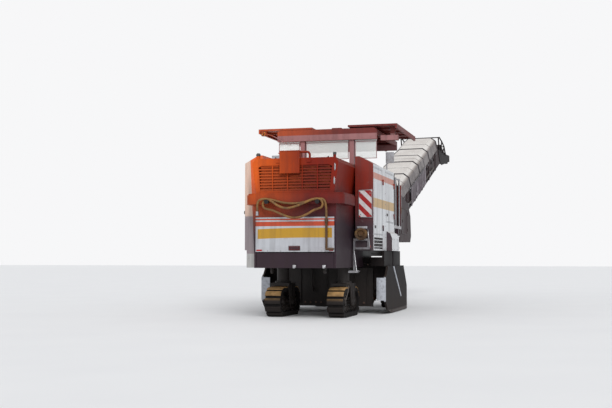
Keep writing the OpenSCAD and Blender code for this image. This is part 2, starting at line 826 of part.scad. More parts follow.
// One pick: a wedge-shaped holder on the tube and a round-shank pick pointing in the sense of rotation
module pick() {
    holder_h = cut_r - drum_r - 50;
    translate([0, 24, 0])
        rotate([90, 0, 0])
            linear_extrude(48)
                polygon([[-70, drum_r - 14], [40, drum_r - 14], [34, drum_r + holder_h * 0.55],
                    [2, drum_r + holder_h], [-30, drum_r + holder_h * 0.8]]);
    translate([12, 0, drum_r + holder_h * 0.6])
        rotate([0, 28, 0]) {
            cylinder(h = 62, r = 19, $fn = 8);
            translate([0, 0, 62])
                cylinder(h = 24, r1 = 15, r2 = 5, $fn = 16);
        }
}

module milling_drum() color(rust) translate([st(drum_x), 0, drum_z]) {
    rotate([90, 0, 0]) {
        translate([0, 0, -drum_w / 2])
            cylinder(h = drum_w, r = drum_r, $fn = 64);
        translate([0, 0, -house_half + 10])
            cylinder(h = 2 * house_half - 20, r = journal_r);
    }
    span = drum_w / 2 - 40;
    for (f = [0:flights - 1], i = [0:flight_picks - 1]) {
        hand = f % 2 == 0 ? 1 : -1;
        y = hand * (30 + (span - 30) * (i + 0.5 * floor(f / 2) * 2 / flights) / flight_picks);
        a = f * 360 / flights + i * 290 / flight_picks;
        translate([0, y, 0])
            rotate([0, a, 0])
                pick();
    }
}

scraper_x = house_x0 - 62;
module scraper() color(steel) {
    half = house_in - 6;
    box([scraper_x, -half, 200], [scraper_x + 30, half, 985]);
    // wearing edge and stiffening ribs
    box([scraper_x + 6, -half, 150], [scraper_x + 36, half, 260]);
    for (y = [-900, -600, 0, 600, 900])
        box([scraper_x - 24, y - 10, 220], [scraper_x + 1, y + 10, 960]);
    for (s = [-1, 1]) {
        y = s * scraper_cyl_y;
        box([scraper_cyl_x - 40, y - 30, 480], [scraper_x + 1, y + 30, 560]);
        translate([st(scraper_cyl_x), y, 520])
            cylinder(h = 760, r = 22);
    }
}

plate_low = 16;
module plate_outline() {
    polygon([[2110, 780], [2110, 300], [2330, 100], [2780, plate_low], [4650, plate_low], [4720, 90],
        [4720, 560], [4300, 1030], [2400, 1030], [2250, 860]]);
}

module side_plate() {
    y = house_half + 15;
    side_profile(y, side_plate_t)
        plate_outline();
    // skid shoe, rear edge bar and diagonal guide bar
    box([2780, y - 8, plate_low], [4640, y + side_plate_t + 12, plate_low + 60]);
    side_profile(y + side_plate_t - 1, 13)
        polygon([[2960, 1020], [3060, 1020], [3960, 330], [3860, 330]]);
    box([2110, 1190, 300], [2140, y + side_plate_t, 780]);
    // lug and rod of the lifting cylinder
    box([plate_cyl_x - 30, plate_cyl_y - 24, 470], [plate_cyl_x + 30, y + 1, 560]);
    translate([st(plate_cyl_x), plate_cyl_y, 500])
        cylinder(h = 920, r = 20);
}
module side_plate_left() color(dark) side_plate();
module side_plate_right() color(dark) mirror([0, 1, 0]) side_plate();

// TRACK UNITS
wheel_r = track_h / 2 - pad_h - chain_t;      // radius of the sprocket and idler
wheel_c = track_l / 2 - track_h / 2;          // from the column to each wheel's axle
axle_z = track_h / 2;

// Path along the middle of the chain: distance round it to [x, z, outward angle]
path_r = wheel_r + chain_t / 2;
path_len = 4 * wheel_c + 2 * PI * path_r;
function on_path(d) = let (top = 2 * wheel_c, arc = PI * path_r)
    d < top ? [-wheel_c + d, path_r, 90] :
    d < top + arc ? let (a = 90 - (d - top) / path_r * 180 / PI)
        [wheel_c + path_r * cos(a), path_r * sin(a), a] :
    d < 2 * top + arc ? [wheel_c - (d - top - arc), -path_r, -90] :
    let (a = -90 - (d - 2 * top - arc) / path_r * 180 / PI)
        [-wheel_c + path_r * cos(a), path_r * sin(a), a];

module stadium(r) {
    for (s = [-1, 1])
        translate([s * wheel_c, 0])
            circle(r = r);
    translate([-wheel_c, -r])
        square([2 * wheel_c, 2 * r]);
}

module track_at(x, y) {
    pitch = path_len / track_shoes;
    side_profile(y - track_w / 2, track_w)
        translate([x, axle_z]) {
            difference() {
                stadium(wheel_r + chain_t);
                stadium(wheel_r);
            }
            for (i = [0:track_shoes - 1]) {
                p = on_path((i + 0.5) * pitch);
                translate([p[0], p[1]])
                    rotate(p[2])
                        polygon([[chain_t / 2 - 6, -pitch * 0.42], [chain_t / 2 + pad_h - 8, -pitch * 0.42],
                            [chain_t / 2 + pad_h, -pitch * 0.32], [chain_t / 2 + pad_h, pitch * 0.32],
                            [chain_t / 2 + pad_h - 8, pitch * 0.42], [chain_t / 2 - 6, pitch * 0.42]]);
            }
        }
}

// Column, fork, frame and wheels of one track unit
module leg_at(x, y) {
    cheek = track_w / 2 + 12;
    cheek_t = 26;
    translate([st(x), y, track_h + 60])
        cylinder(h = sleeve_top - track_h - 120, r = column_r);
    translate([st(x), y, track_h + 60])
        cylinder(h = sleeve_low - track_h - 60 - seat, r = column_r + 24);
    // fork head and cheeks
    box([x - 230, y - cheek - cheek_t, track_h + 22], [x + 230, y + cheek + cheek_t, track_h + 80]);
    for (s = [-1, 1])
        side_profile(y + (s > 0 ? cheek : -cheek - cheek_t), cheek_t)
            polygon([[x - 230, track_h + 40], [x - 110, axle_z - 70], [x + 110, axle_z - 70],
                [x + 230, track_h + 40]]);
    cross_bar(x, axle_z, y - cheek - 2, y + cheek + 2, 45);
    // roller frame, wheels and rollers
    box([x - wheel_c, y - 70, axle_z - 90], [x + wheel_c, y + 70, axle_z + 90]);
    for (s = [-1, 1])
        cross_bar(x + s * wheel_c, axle_z, y - 95, y + 95, wheel_r - seat);
    for (i = [-2:2])
        cross_bar(x + i * 165, axle_z - wheel_r + 60 + seat, y - 100, y + 100, 60);
}

module leg_rl() color(steel) leg_at(rear_track_x, rear_track_y);
module leg_rr() color(steel) leg_at(rear_track_x, -rear_track_y);
module leg_fl() color(steel) leg_at(front_track_x, front_track_y);
module leg_fr() color(steel) leg_at(front_track_x, -front_track_y);
module track_rl() color(rust) track_at(rear_track_x, rear_track_y);
module track_rr() color(rust) track_at(rear_track_x, -rear_track_y);
module track_fl() color(rust) track_at(front_track_x, front_track_y);
module track_fr() color(rust) track_at(front_track_x, -front_track_y);

// RECEIVING CONVEYOR between the front tracks
recv_x0 = house_x1 + 2;
recv_z0 = 420;
recv_x1 = 6450;
recv_z1 = 2340;
recv_slope = (recv_z1 - recv_z0) / (recv_x1 - recv_x0);
recv_head = 7120;
module receiving_conveyor() color(grey) {
    difference() {
        side_profile(-recv_half, 2 * recv_half)
            polygon([[recv_x0, recv_z0], [recv_x1, recv_z1], [recv_head, recv_z1 + 180],
                [recv_head, recv_z1 + 560], [recv_x1 - 160, recv_z1 + 340], [recv_x0, recv_z0 + 430]]);
        side_profile(-recv_half + 20, 2 * recv_half - 40)
            polygon([[recv_x0 - 10, recv_z0 + 70], [recv_x1, recv_z1 + 80], [recv_head + 10, recv_z1 + 262],
                [recv_head + 10, recv_z1 + 520], [recv_x1 - 150, recv_z1 + 300],
                [recv_x0 - 10, recv_z0 + 390]]);
    }
    // hangers on the main frame's rails
    for (s = [-1, 1])
        box([5150, s > 0 ? recv_half - 1 : -rail_y + seat, rail_z + 40],
            [5250, s > 0 ? rail_y - seat : -recv_half + 1, rail_z + 200]);
}

// Tanks on both sides of the receiving conveyor
tank_front = 6480;
module front_tanks() color(white) both_sides()
    difference() {
        side_profile(rail_y + 10, body_half - 90 - rail_y)
            polygon([[platform_front + 5, rail_z + rail_h + seat], [tank_front - 130, rail_z + rail_h + seat],
                [tank_front, 1760], [tank_front - 80, 2260], [tank_front - 420, 2560],
                [platform_front + 5, 2760]]);
        translate([st(5300), 1000, 2640])
            cylinder(h = 300, r = 60);
    }

// DISCHARGE CONVEYOR, in its own frame on the slewing axis
rise = tan(rise_deg);
function low_line(s) = conv_z0 + rise * s;
function high_line(s) = low_line(s) + conv_depth;
module on_slew() {
    translate([st(slew_x), 0, 0])
        rotate([0, 0, slew_deg])
            children();
}
module conv_profile(y0, t) {
    translate([0, y0 + t, 0])
        rotate([90, 0, 0])
            linear_extrude(t)
                children();
}
module conv_bar(s, z, y0, y1, r) {
    translate([s, y1, z])
        rotate([90, 0, 0])
            cylinder(h = y1 - y0, r = r);
}

hinge_s = 60;
hinge_z = low_line(60) + 160;
hinge_r = 45;
cyl_y = 330;
cyl_foot = [520, 1520];
cyl_eye = [2350, low_line(2350) - 60];
tail_s = -170;
side_t = 24;

module turntable() color(steel) on_slew() {
    difference() {
        union() {
            translate([0, 0, nose_z + seat])
                cylinder(h = 90, r = 300);
            translate([0, 0, rail_z])
                cylinder(h = nose_z - rail_z + 20, r = pivot_r);
            translate([-table_rear, -arm_in - arm_t, nose_z + 60])
                cube([table_rear + table_front, 2 * (arm_in + arm_t), 110]);
            // arms up to the lifting hinge
            for (y = [arm_in, -arm_in - arm_t])
                conv_profile(y, arm_t)
                    polygon([[-table_rear, nose_z + 60], [table_front, nose_z + 60],
                        [hinge_s + 100, hinge_z + 90], [hinge_s - 100, hinge_z + 90]]);
            // lugs for the feet of the lifting cylinders
            for (s = [-1, 1], d = [-1, 1])
                conv_profile(s * cyl_y + (d > 0 ? 34 : -54), 20)
                    polygon([[200, nose_z + 60], [cyl_foot[0] + 40, cyl_foot[1] - 50],
                        [cyl_foot[0] + 40, cyl_foot[1] + 50], [200, nose_z + 168]]);
        }
        for (s = [-1, 1])
            conv_bar(hinge_s, hinge_z, s * (arm_in + arm_t / 2) - arm_t, s * (arm_in + arm_t / 2) + arm_t,
                hinge_r + run_gap);
    }
    for (s = [-1, 1])
        conv_bar(cyl_foot[0], cyl_foot[1], s * cyl_y - 54, s * cyl_y + 54, 24);
}

module frame_outline() {
    polygon([[tail_s, low_line(tail_s) + 40], [tail_s + 120, low_line(tail_s + 120)],
        [conv_reach + 60, low_line(conv_reach + 60)], [conv_reach + 120, high_line(conv_reach) - 80],
        [conv_reach, high_line(conv_reach)], [760, high_line(760)], [560, 2270], [tail_s, 2270]]);
}

module conveyor_frame() color(grey) on_slew() {
    for (y = [conv_half - side_t, -conv_half])
        conv_profile(y, side_t)
            frame_outline();
    // underside sheet
    conv_profile(-conv_half + 1, 2 * conv_half - 2)
        polygon([[tail_s + 130, low_line(tail_s + 130) + 6], [conv_reach, low_line(conv_reach) + 6],
            [conv_reach, low_line(conv_reach) + 22], [tail_s + 130, low_line(tail_s + 130) + 22]]);
    for (s = [700:900:conv_reach - 300])
        for (y = [conv_half - 1, -conv_half - 23])
            conv_profile(y, 24)
                polygon([[s, low_line(s) + 4], [s + 60, low_line(s + 60) + 4],
                    [s + 60, high_line(s + 60) - 6], [s, high_line(s) - 6]]);
    // hinge pins into the turntable's arms
    for (s = [-1, 1])
        conv_bar(hinge_s, hinge_z, s > 0 ? conv_half - 1 : -arm_in - arm_t + 4,
            s > 0 ? arm_in + arm_t - 4 : -conv_half + 1, hinge_r);
    // eyes for the rods of the lifting cylinders
    for (s = [-1, 1], d = [-1, 1])
        conv_profile(s * cyl_y + (d > 0 ? 34 : -54), 20)
            polygon([[cyl_eye[0] - 60, cyl_eye[1] - 50], [cyl_eye[0] + 60, cyl_eye[1] - 50],
                [cyl_eye[0] + 90, low_line(cyl_eye[0] + 90) + 12],
                [cyl_eye[0] - 90, low_line(cyl_eye[0] - 90) + 12]]);
    // journals of the head and tail drums
    conv_bar(conv_reach - 60, low_line(conv_reach - 60) + 300, -conv_half + 2, conv_half - 2, 40);
    conv_bar(60, low_line(60) + 320, -conv_half + 2, -470, 30);
    conv_bar(60, low_line(60) + 320, 470, conv_half - 2, 30);
}

belt_half = 460;
belt_t = 20;
module belt_outline(g) {
    r = 130 + g;
    head = conv_reach - 60;
    tail = 60;
    hull() {
        translate([head, low_line(head) + 300]) circle(r = r);
        translate([tail, low_line(tail) + 300]) circle(r = r);
    }
}
module conveyor_belt() color(black) on_slew()
    difference() {
        conv_profile(-belt_half, 2 * belt_half)
            belt_outline(0);
        conv_profile(-belt_half - 1, 2 * belt_half + 2)
            belt_outline(-belt_t);
        for (s = [-1, 1])
            conv_bar(conv_reach - 60, low_line(conv_reach - 60) + 300, -belt_half - 2, belt_half + 2, 41);
    }

// Arched covers in four lengths, each on a bow at its rear end, the last with one at its front too
bow_s = [1050, 2100, 3200, 4450, conv_reach - 350];
bow_w = 40;
cover_rise = 380;
cover_t = 16;
module on_top_line(s, len) {
    translate([s, 0, high_line(s)])
        multmatrix([[1, 0, 0, 0], [0, 1, 0, 0], [rise, 0, 1, 0], [0, 0, 0, 1]])
            rotate([90, 0, 90])
                linear_extrude(len)
                    children();
}

// Outline of a cover's section, in by t, or out where t is negative
module cover_outline(t, z) {
    polygon([[-conv_half + t, z], [conv_half - t, z], [conv_half - 60 - t * 0.9, cover_rise * 0.7 - t * 0.4],
        [conv_half - 220 - t * 0.5, cover_rise - t], [-conv_half + 220 + t * 0.5, cover_rise - t],
        [-conv_half + 60 + t * 0.9, cover_rise * 0.7 - t * 0.4]]);
}

module bow(s) {
    on_top_line(s - bow_w / 2, bow_w)
        difference() {
            cover_outline(-14, 3);
            cover_outline(cover_t + 12, -1);
        }
}

module conveyor_covers() color(white) on_slew() {
    for (i = [0:len(bow_s) - 2]) {
        on_top_line(bow_s[i] - bow_w / 2 + 2, bow_s[i + 1] - bow_s[i] - 12)
            difference() {
                cover_outline(0, seat);
                cover_outline(cover_t, -1);
            }
        bow(bow_s[i]);
    }
    bow(bow_s[len(bow_s) - 1] - bow_w / 2 - 4);
}

// Open tubular guard on both sides of the discharge hood, from its rear foot over to its tip
guard_r = 20;
function guard_points(s, z) = [[s + 40, z - 10], [s - 70, z + 340], [s + 60, z + 372], [s + 420, z + 290],
    [s + 780, z + 150], [s + 1000, z - 90]];

module discharge_hood() color(grey) on_slew() {
    tip = conv_reach + hood_reach;
    head = conv_reach - 300;
    head_z = high_line(head);
    out = conv_half + seat;
    for (y = [out, -out - 16])
        conv_profile(y, 16)
            polygon([[head, head_z - 60], [head, head_z + 60], [head + 320, head_z + 170],
                [head + 1000, head_z - 70],
                [tip - 430, head_z - 60], [tip, head_z - 60], [tip, head_z - 260],
                [head + 480, head_z - 480], [head + 240, head_z - 400]]);
    // roof of the hood and the short rubber curtain at its tip
    conv_profile(-out - 1, 2 * out + 2)
        polygon([[head, head_z + 60], [head + 320, head_z + 170], [head + 1000, head_z - 70],
            [tip - 430, head_z - 60], [tip, head_z - 60], [tip, head_z - 80], [tip - 430, head_z - 80],
            [head + 1000, head_z - 90], [head + 320, head_z + 150], [head, head_z + 40]]);
    conv_profile(-conv_half + 40, 2 * conv_half - 80)
        polygon([[tip - 60, head_z - 75], [tip - 40, head_z - 75], [tip - 40, head_z - 330],
            [tip - 60, head_z - 330]]);
    points = guard_points(head, head_z);
    for (y = [out + 12 + guard_r, -out - 12 - guard_r]) {
        for (i = [0:len(points) - 2])
            rod([points[i][0], y, points[i][1]], [points[i + 1][0], y, points[i + 1][1]], guard_r);
        for (p = points)
            translate([p[0], y, p[1]])
                sphere(r = guard_r + 2);
        // braces down to the side plate
        rod([points[3][0], y, points[3][1]], [head + 330, y, head_z - 30], guard_r - 2);
        rod([points[4][0], y, points[4][1]], [head + 620, y, head_z - 70], guard_r - 2);
    }
    for (p = [points[2], points[4]])
        conv_bar(p[0], p[1], -out - 12 - guard_r, out + 12 + guard_r, guard_r - 4);
}

// LIFTING CYLINDERS
cyl_vec = [cyl_eye[0] - cyl_foot[0], 0, cyl_eye[1] - cyl_foot[1]];
cyl_len = norm(cyl_vec);
cyl_ang = atan2(cyl_vec[0], cyl_vec[2]);
barrel_len = 1400;
module along_cylinder() {
    for (s = [-1, 1])
        translate([cyl_foot[0], s * cyl_y, cyl_foot[1]])
            rotate([0, cyl_ang, 0])
                children();
}
module lift_barrels() color(steel) on_slew() along_cylinder() difference() {
    union() {
        translate([0, 33, 0])
            rotate([90, 0, 0])
                cylinder(h = 66, r = 50);
        translate([0, 0, 20])
            cylinder(h = 110, r = 30);
        translate([0, 0, 110])
            cylinder(h = barrel_len - 110, r = 58);
    }
    rotate([90, 0, 0])
        cylinder(h = 100, r = 24 + run_gap, center = true);
    translate([0, 0, 160])
        cylinder(h = barrel_len, r = 32 + run_gap);
}
module lift_rods() color(silver) on_slew() along_cylinder() {
    translate([0, 0, 700])
        cylinder(h = cyl_len - 700 - 40, r = 32);
    difference() {
        translate([0, 33, cyl_len])
            rotate([90, 0, 0])
                cylinder(h = 66, r = 46);
        translate([0, 0, cyl_len])
            rotate([90, 0, 0])
                cylinder(h = 100, r = 22, center = true);
    }
}

// SMALL PIECES
module mirrors() color(black) both_sides() {
    translate([st(2965), body_half - 20, side_top + seat])
        cylinder(h = 160, r = 14);
    box([2950, body_half - 40, side_top + 155], [2980, 1420, side_top + 400]);
}

module rear_steps() color(silver) {
    // folding step and grab bar behind the right cabinet
    y = -hood_half - 190;
    difference() {
        box([cab_right_x - 60, y - 180, 1380], [cab_right_x - seat, y + 160, 1600]);
        box([cab_right_x - 70, y - 140, 1420], [cab_right_x + 1, y + 120, 1560]);
    }
    box([cab_right_x - 60, y + 130, 930], [cab_right_x - 30, y + 160, 1381]);
    box([cab_right_x - 220, y + 40, 900], [cab_right_x - 30, y + 230, 931]);
}

// HOSE: from the top of the standpipe, in three lays over two pegs, its loose end hanging at the left
hose_r = 23;
peg_r = 30;
peg_out = 205;
peg_gap = 3.2;
left_peg = [519, 2352 - hose_r - peg_r - peg_gap];
right_peg = [-510, 2345 - hose_r - peg_r - peg_gap];
pipe_y = -660;
pipe_x = -75;
pipe_r = 24;
pipe_low = 1375;
pipe_top = 1980;

// Route of the hose: station, width, height
hose_route = [[-75, -660, 1980], [-75, -660, 2050], [-96, -660, 2135], [-122, -660, 2215],
    [-127, -645, 2290], [-127, -600, 2335], [-127, -510, 2345], [-127, -380, 2325], [-127, -200, 2278],
    [-127, 0, 2262], [-127, 200, 2280], [-127, 380, 2325], [-127, 519, 2352], [-127, 588, 2324],
    [-127, 616, 2255], [-127, 588, 2186], [-127, 519, 2157], [-127, 400, 2128], [-127, 250, 2062],
    [-127, 100, 2004], [-127, -30, 1984], [-127, -160, 2000], [-127, -300, 2058], [-127, -420, 2126],
    [-127, -510, 2155], [-138, -577, 2183], [-151, -605, 2250], [-165, -577, 2317], [-176, -510, 2345],
    [-176, -380, 2326], [-176, -200, 2250], [-176, 0, 2184], [-176, 150, 2172], [-176, 300, 2226],
    [-176, 420, 2308], [-176, 519, 2352], [-176, 610, 2352], [-176, 681, 2323], [-176, 712, 2250],
    [-176, 712, 2180], [-176, 712, 2110]];

// Point at t on the smooth curve through points 1 and 2 of four
function curve_at(p, t) = 0.5 * (2 * p[1] + (p[2] - p[0]) * t
    + (2 * p[0] - 5 * p[1] + 4 * p[2] - p[3]) * t * t + (3 * p[1] - p[0] - 3 * p[2] + p[3]) * t * t * t);
function padded(r) = concat([2 * r[0] - r[1]], r, [2 * r[len(r) - 1] - r[len(r) - 2]]);
function smooth(r, steps) = let (q = padded(r))
    concat([for (i = [0:len(r) - 2], k = [0:steps - 1])
            curve_at([q[i], q[i + 1], q[i + 2], q[i + 3]], k / steps)], [r[len(r) - 1]]);

// Round tube along points that never run along X
module tube(pts, r, sides) {
    n = len(pts);
    rings = [for (i = [0:n - 1]) let (
        a = pts[max(i - 1, 0)], b = pts[min(i + 1, n - 1)],
        t = (b - a) / norm(b - a),
        u = cross(t, [1, 0, 0]) / norm(cross(t, [1, 0, 0])),
        v = cross(t, u))
        for (k = [0:sides - 1]) pts[i] + r * (u * cos(k * 360 / sides) + v * sin(k * 360 / sides))];
    faces = concat(
        [[for (k = [0:sides - 1]) k]],
        [for (i = [0:n - 2], k = [0:sides - 1]) let (a = i * sides, l = (k + 1) % sides)
            [a + k, a + sides + k, a + sides + l, a + l]],
        [[for (k = [sides - 1:-1:0]) (n - 1) * sides + k]]);
    polyhedron(rings, faces, convexity = 6);
}

module hose_hooks() color(steel)
    for (p = [left_peg, right_peg])
        translate([st(-ledge_out - seat), p[0], p[1]])
            rotate([0, -90, 0]) {
                cylinder(h = peg_out - ledge_out, r = peg_r);
                translate([0, 0, peg_out - ledge_out])
                    cylinder(h = 8, r = peg_r + 14);
            }

module standpipe() color(steel) {
    corner = [st(pipe_x), pipe_y, pipe_low];
    side = [st(pipe_x), pipe_y - 115, pipe_low];
    translate(corner) cylinder(h = pipe_top - pipe_low, r = pipe_r);
    translate(corner) sphere(r = pipe_r);
    cross_bar(pipe_x, pipe_low, pipe_y - 115, pipe_y, pipe_r);
    translate(side) sphere(r = pipe_r);
    translate(side)
        rotate([0, 90, 0])
            cylinder(h = -pipe_x - 20 - seat, r = pipe_r);
    translate([st(pipe_x), pipe_y, pipe_top - 90])
        cylinder(h = 70, r = pipe_r + 12);
    // bracket to the striped panel
    box([pipe_x, pipe_y - 20, 1700], [-34 - seat, pipe_y + 20, 1712]);
}

module hose() color(tan_hose)
    translate([st(0), 0, 0])
        tube(smooth(hose_route, 2), hose_r, 8);

module hose_fitting() color(silver)
    translate([st(-176), 712, 2030])
        cylinder(h = 80, r = 30);

main_frame();
lashing_eyes();
engine_block();
cooler();
rear_hood();
grille();
ledge();
stripe_panel();
rear_flap();
exhaust_box();
hood_fittings();
cabinet_left();
cabinet_right();
door_left();
door_right();
gate_left();
gate_right();
fairings();
warning_board();
bulkhead();
platform();
consoles();
seats();
rails();
post_sleeves();
canopy_frame();
extension_left();
extension_right();
rear_panes();
drum_housing();
milling_drum();
scraper();
side_plate_left();
side_plate_right();
leg_rl();
leg_rr();
leg_fl();
leg_fr();
track_rl();
track_rr();
track_fl();
track_fr();
receiving_conveyor();
front_tanks();
turntable();
conveyor_frame();
conveyor_belt();
conveyor_covers();
discharge_hood();
lift_barrels();
lift_rods();
mirrors();
rear_steps();
hose_hooks();
standpipe();
hose();
hose_fitting();
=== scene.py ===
# %% [markdown]
# # A cold planer milling machine
#
# A cold planer peels off worn asphalt. Four track units carry a frame with a milling drum under
# its middle, an engine hood behind, an operator's platform under a canopy, and a long conveyor
# that throws the milled asphalt out ahead. The solids come from CAD. Here they get their
# finishes, and the pieces that are too small or too soft for the solids.

# %% Load the frame
import bpy
import math
import random
from mathutils import Matrix, Vector


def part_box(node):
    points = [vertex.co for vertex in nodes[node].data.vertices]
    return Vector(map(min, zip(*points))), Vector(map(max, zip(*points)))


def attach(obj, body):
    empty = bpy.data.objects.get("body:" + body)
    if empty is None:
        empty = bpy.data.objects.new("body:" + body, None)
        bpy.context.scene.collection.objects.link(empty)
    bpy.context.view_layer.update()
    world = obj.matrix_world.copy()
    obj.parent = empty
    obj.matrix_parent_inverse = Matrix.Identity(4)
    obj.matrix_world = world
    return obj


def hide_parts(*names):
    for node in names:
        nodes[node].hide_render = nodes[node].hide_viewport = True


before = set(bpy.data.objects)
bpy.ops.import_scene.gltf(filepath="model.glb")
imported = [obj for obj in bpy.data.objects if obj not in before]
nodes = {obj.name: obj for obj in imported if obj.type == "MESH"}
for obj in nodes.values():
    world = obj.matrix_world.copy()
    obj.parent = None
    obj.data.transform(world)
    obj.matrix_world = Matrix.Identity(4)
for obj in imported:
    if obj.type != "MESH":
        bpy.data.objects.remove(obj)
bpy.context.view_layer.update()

# %% [markdown]
# The camera stands low, behind the machine's right rear corner, and looks along it. Its place
# was worked out from the striped warning board, the width over the body and the horizon. The
# world is a plain pale studio; the sun lamps are made very wide, so that their shadows stay soft
# on an object this long.

# %% Camera, lights and floor
REAR = -7.2          # X of the hood's rear face: stations along the machine count from here
PICTURE_PX, FOCAL_PX = 612, 967      # width of the picture, and the lens in its pixels
SENSOR_MM = 36


def st(x, y=0.0, z=0.0):
    """A point from its station forward of the hood's rear face, its width and its height."""
    return Vector((REAR + x, y, z))


def aim(thing, at):
    """Turns a camera or lamp to look from where it is towards a point."""
    thing.rotation_euler = (Vector(at) - thing.location).to_track_quat("-Z", "Y").to_euler()


camera = bpy.data.objects.new("camera", bpy.data.cameras.new("camera"))
bpy.context.scene.collection.objects.link(camera)
camera.location = (-25.33, -5.36, 1.20)
yaw, pitch = math.radians(15.8), math.radians(3.2)
aim(camera, camera.location + Vector((math.cos(yaw) * math.cos(pitch),
                                      math.sin(yaw) * math.cos(pitch), math.sin(pitch))))
camera.data.sensor_width = SENSOR_MM
camera.data.lens = FOCAL_PX / PICTURE_PX * SENSOR_MM
camera.data.clip_end = 400
bpy.context.scene.camera = camera
bpy.context.scene.view_settings.view_transform = "Standard"
print("lens", round(camera.data.lens, 2), "mm")


def lamp(name, kind, place, at, energy, **settings):
    """A lamp at a place, looking at a point."""
    data = bpy.data.lights.new(name, kind)
    data.energy = energy
    for key, value in settings.items():
        setattr(data, key, value)
    made = bpy.data.objects.new(name, data)
    bpy.context.scene.collection.objects.link(made)
    made.location = place
    aim(made, at)


lamp("key", "SUN", (-30, -14, 26), (0, 0, 1), 1.7, angle=math.radians(35))
lamp("fill", "SUN", (-26, 22, 12), (0, 0, 1), 0.4, angle=math.radians(60))

# %% [markdown]
# ## Writing a finish as sums
#
# A real finish is never one flat colour. Old paint fades in patches, streaks below every ledge
# and gathers dust on what faces up. Each finish below reads the place on the machine in metres,
# so patterns have their real size. Shader nodes are easier to read as sums than as boxes and
# wires, so one small class wraps a socket and adds the Math nodes for plus, minus and times.


# %% A socket that can be added and multiplied
def operator(operation, *others, turned=False, clamp=False):
    """A method that adds one Math node, its two sides turned round for sums like 1 - mask."""
    def method(self, *values):
        sides = (*values, self) if turned else (self, *values)
        return self.math(operation, *sides, *others, clamp=clamp)
    return method


class Value:
    """A node's output that Python operators work on."""

    def __init__(self, finish, socket):
        self.finish, self.socket = finish, socket

    def math(self, operation, *values, clamp=False):
        return self.finish.node("Math", {"operation": operation, "use_clamp": clamp}, *values)

    __add__, __radd__ = operator("ADD"), operator("ADD", turned=True)
    __sub__, __rsub__ = operator("SUBTRACT"), operator("SUBTRACT", turned=True)
    __mul__, __rmul__ = operator("MULTIPLY"), operator("MULTIPLY", turned=True)
    __neg__ = operator("MULTIPLY", -1.0)
    abs, root, most = operator("ABSOLUTE"), operator("SQRT"), operator("MAXIMUM")
    clamped, wrapped = operator("ADD", 0.0, clamp=True), operator("WRAP", 0.0)

    def step(self, edge, soft):
        """0 below an edge and 1 above it, over a soft width."""
        return self.math("MULTIPLY_ADD", self, 1 / soft, 0.5 - edge / soft, clamp=True)

    def band(self, low, high, soft=0.004):
        """1 between two edges and 0 outside them."""
        return self.step(low, soft) * (1 - self.step(high, soft))


def rgb(r, g, b):
    """A colour as seen on a screen, 0 to 255, as Blender's linear colour."""
    return tuple((c / 255 / 12.92 if c / 255 <= 0.04045 else ((c / 255 + 0.055) / 1.055) ** 2.4)
                 for c in (r, g, b)) + (1.0,)


class Finish:
    """A material in the making, with the place and the normal of each point as Values."""

    def __init__(self, name):
        self.material = bpy.data.materials.new(name)
        self.material.use_nodes = True
        self.tree = self.material.node_tree
        self.shader = self.tree.nodes["Principled BSDF"]
        self.place = self.node("TexCoord", {}, out="Object")
        split = self.node("SeparateXYZ", {}, self.place)
        self.x, self.y, self.z = (Value(self, split.socket.node.outputs[i]) for i in range(3))
        normal = self.node("NewGeometry", {}, out="Normal")
        turned = self.node("SeparateXYZ", {}, normal)
        self.nx, self.ny, self.nz = (Value(self, turned.socket.node.outputs[i]) for i in range(3))

    def node(self, kind, settings, *values, out=0, **named):
        """Adds a node: its settings, then its sockets by order or by name. Gives one output."""
        made = self.tree.nodes.new("ShaderNode" + kind)
        for key, value in settings.items():
            setattr(made, key, value)
        sockets = [(made.inputs[i], v) for i, v in enumerate(values)]
        sockets += [(made.inputs[key.replace("_", " ")], v) for key, v in named.items()]
        for socket, value in sockets:
            self.feed(socket, value)
        return Value(self, made.outputs[out])

    def feed(self, socket, value):
        """Links a Value to a socket, or sets the socket to a plain value."""
        if isinstance(value, Value):
            self.tree.links.new(value.socket, socket)
        elif value is not None:
            socket.default_value = value

    def mix(self, below, above, factor):
        """One colour over another."""
        made = self.tree.nodes.new("ShaderNodeMix")
        made.data_type = "RGBA"
        for i, value in ((0, factor), (6, below), (7, above)):
            self.feed(made.inputs[i], value)
        return Value(self, made.outputs[2])

    def noise(self, scale, detail=4, rough=0.6, stretch=(1, 1, 1), shift=(0, 0, 0)):
        """Cloudy noise, 0 to 1, whose grain can be stretched along an axis."""
        at = self.node("Mapping", {}, self.place, Scale=stretch, Location=shift)
        return self.node("TexNoise", {}, Vector=at, Scale=scale, Detail=detail, Roughness=rough)

    def cells(self, scale):
        """Rounded cells, 0 at their middles."""
        return self.node("TexVoronoi", {}, Vector=self.place, Scale=scale)

    def bump(self, height, depth, strength=1.0):
        """A bump of a height map, its depth in metres."""
        return self.node("Bump", {}, Height=height, Distance=depth, Strength=strength)

    def done(self, colour, roughness, normal=None, metallic=0.0, **plain):
        """Feeds the shader, other inputs by their names, and gives the material."""
        inputs = {"Base Color": colour, "Roughness": roughness, "Metallic": metallic, "Normal": normal}
        for key, value in (inputs | plain).items():
            self.feed(self.shader.inputs[key.replace("_", " ")], value)
        return self.material


# %% [markdown]
# Dirt is the same over the whole machine, so it is written once: asphalt dust lies on what faces
# up and thickens towards the ground, and rain draws it into streaks down the upright panels.

# %% Dust, streaks and the paints
DUST = rgb(150, 136, 126)
MUD = rgb(82, 70, 62)
GRIME = rgb(42, 33, 32)
BEAM_LOW, BEAM_TOP = 3.77, 3.93      # heights of the canopy's beam across the rear


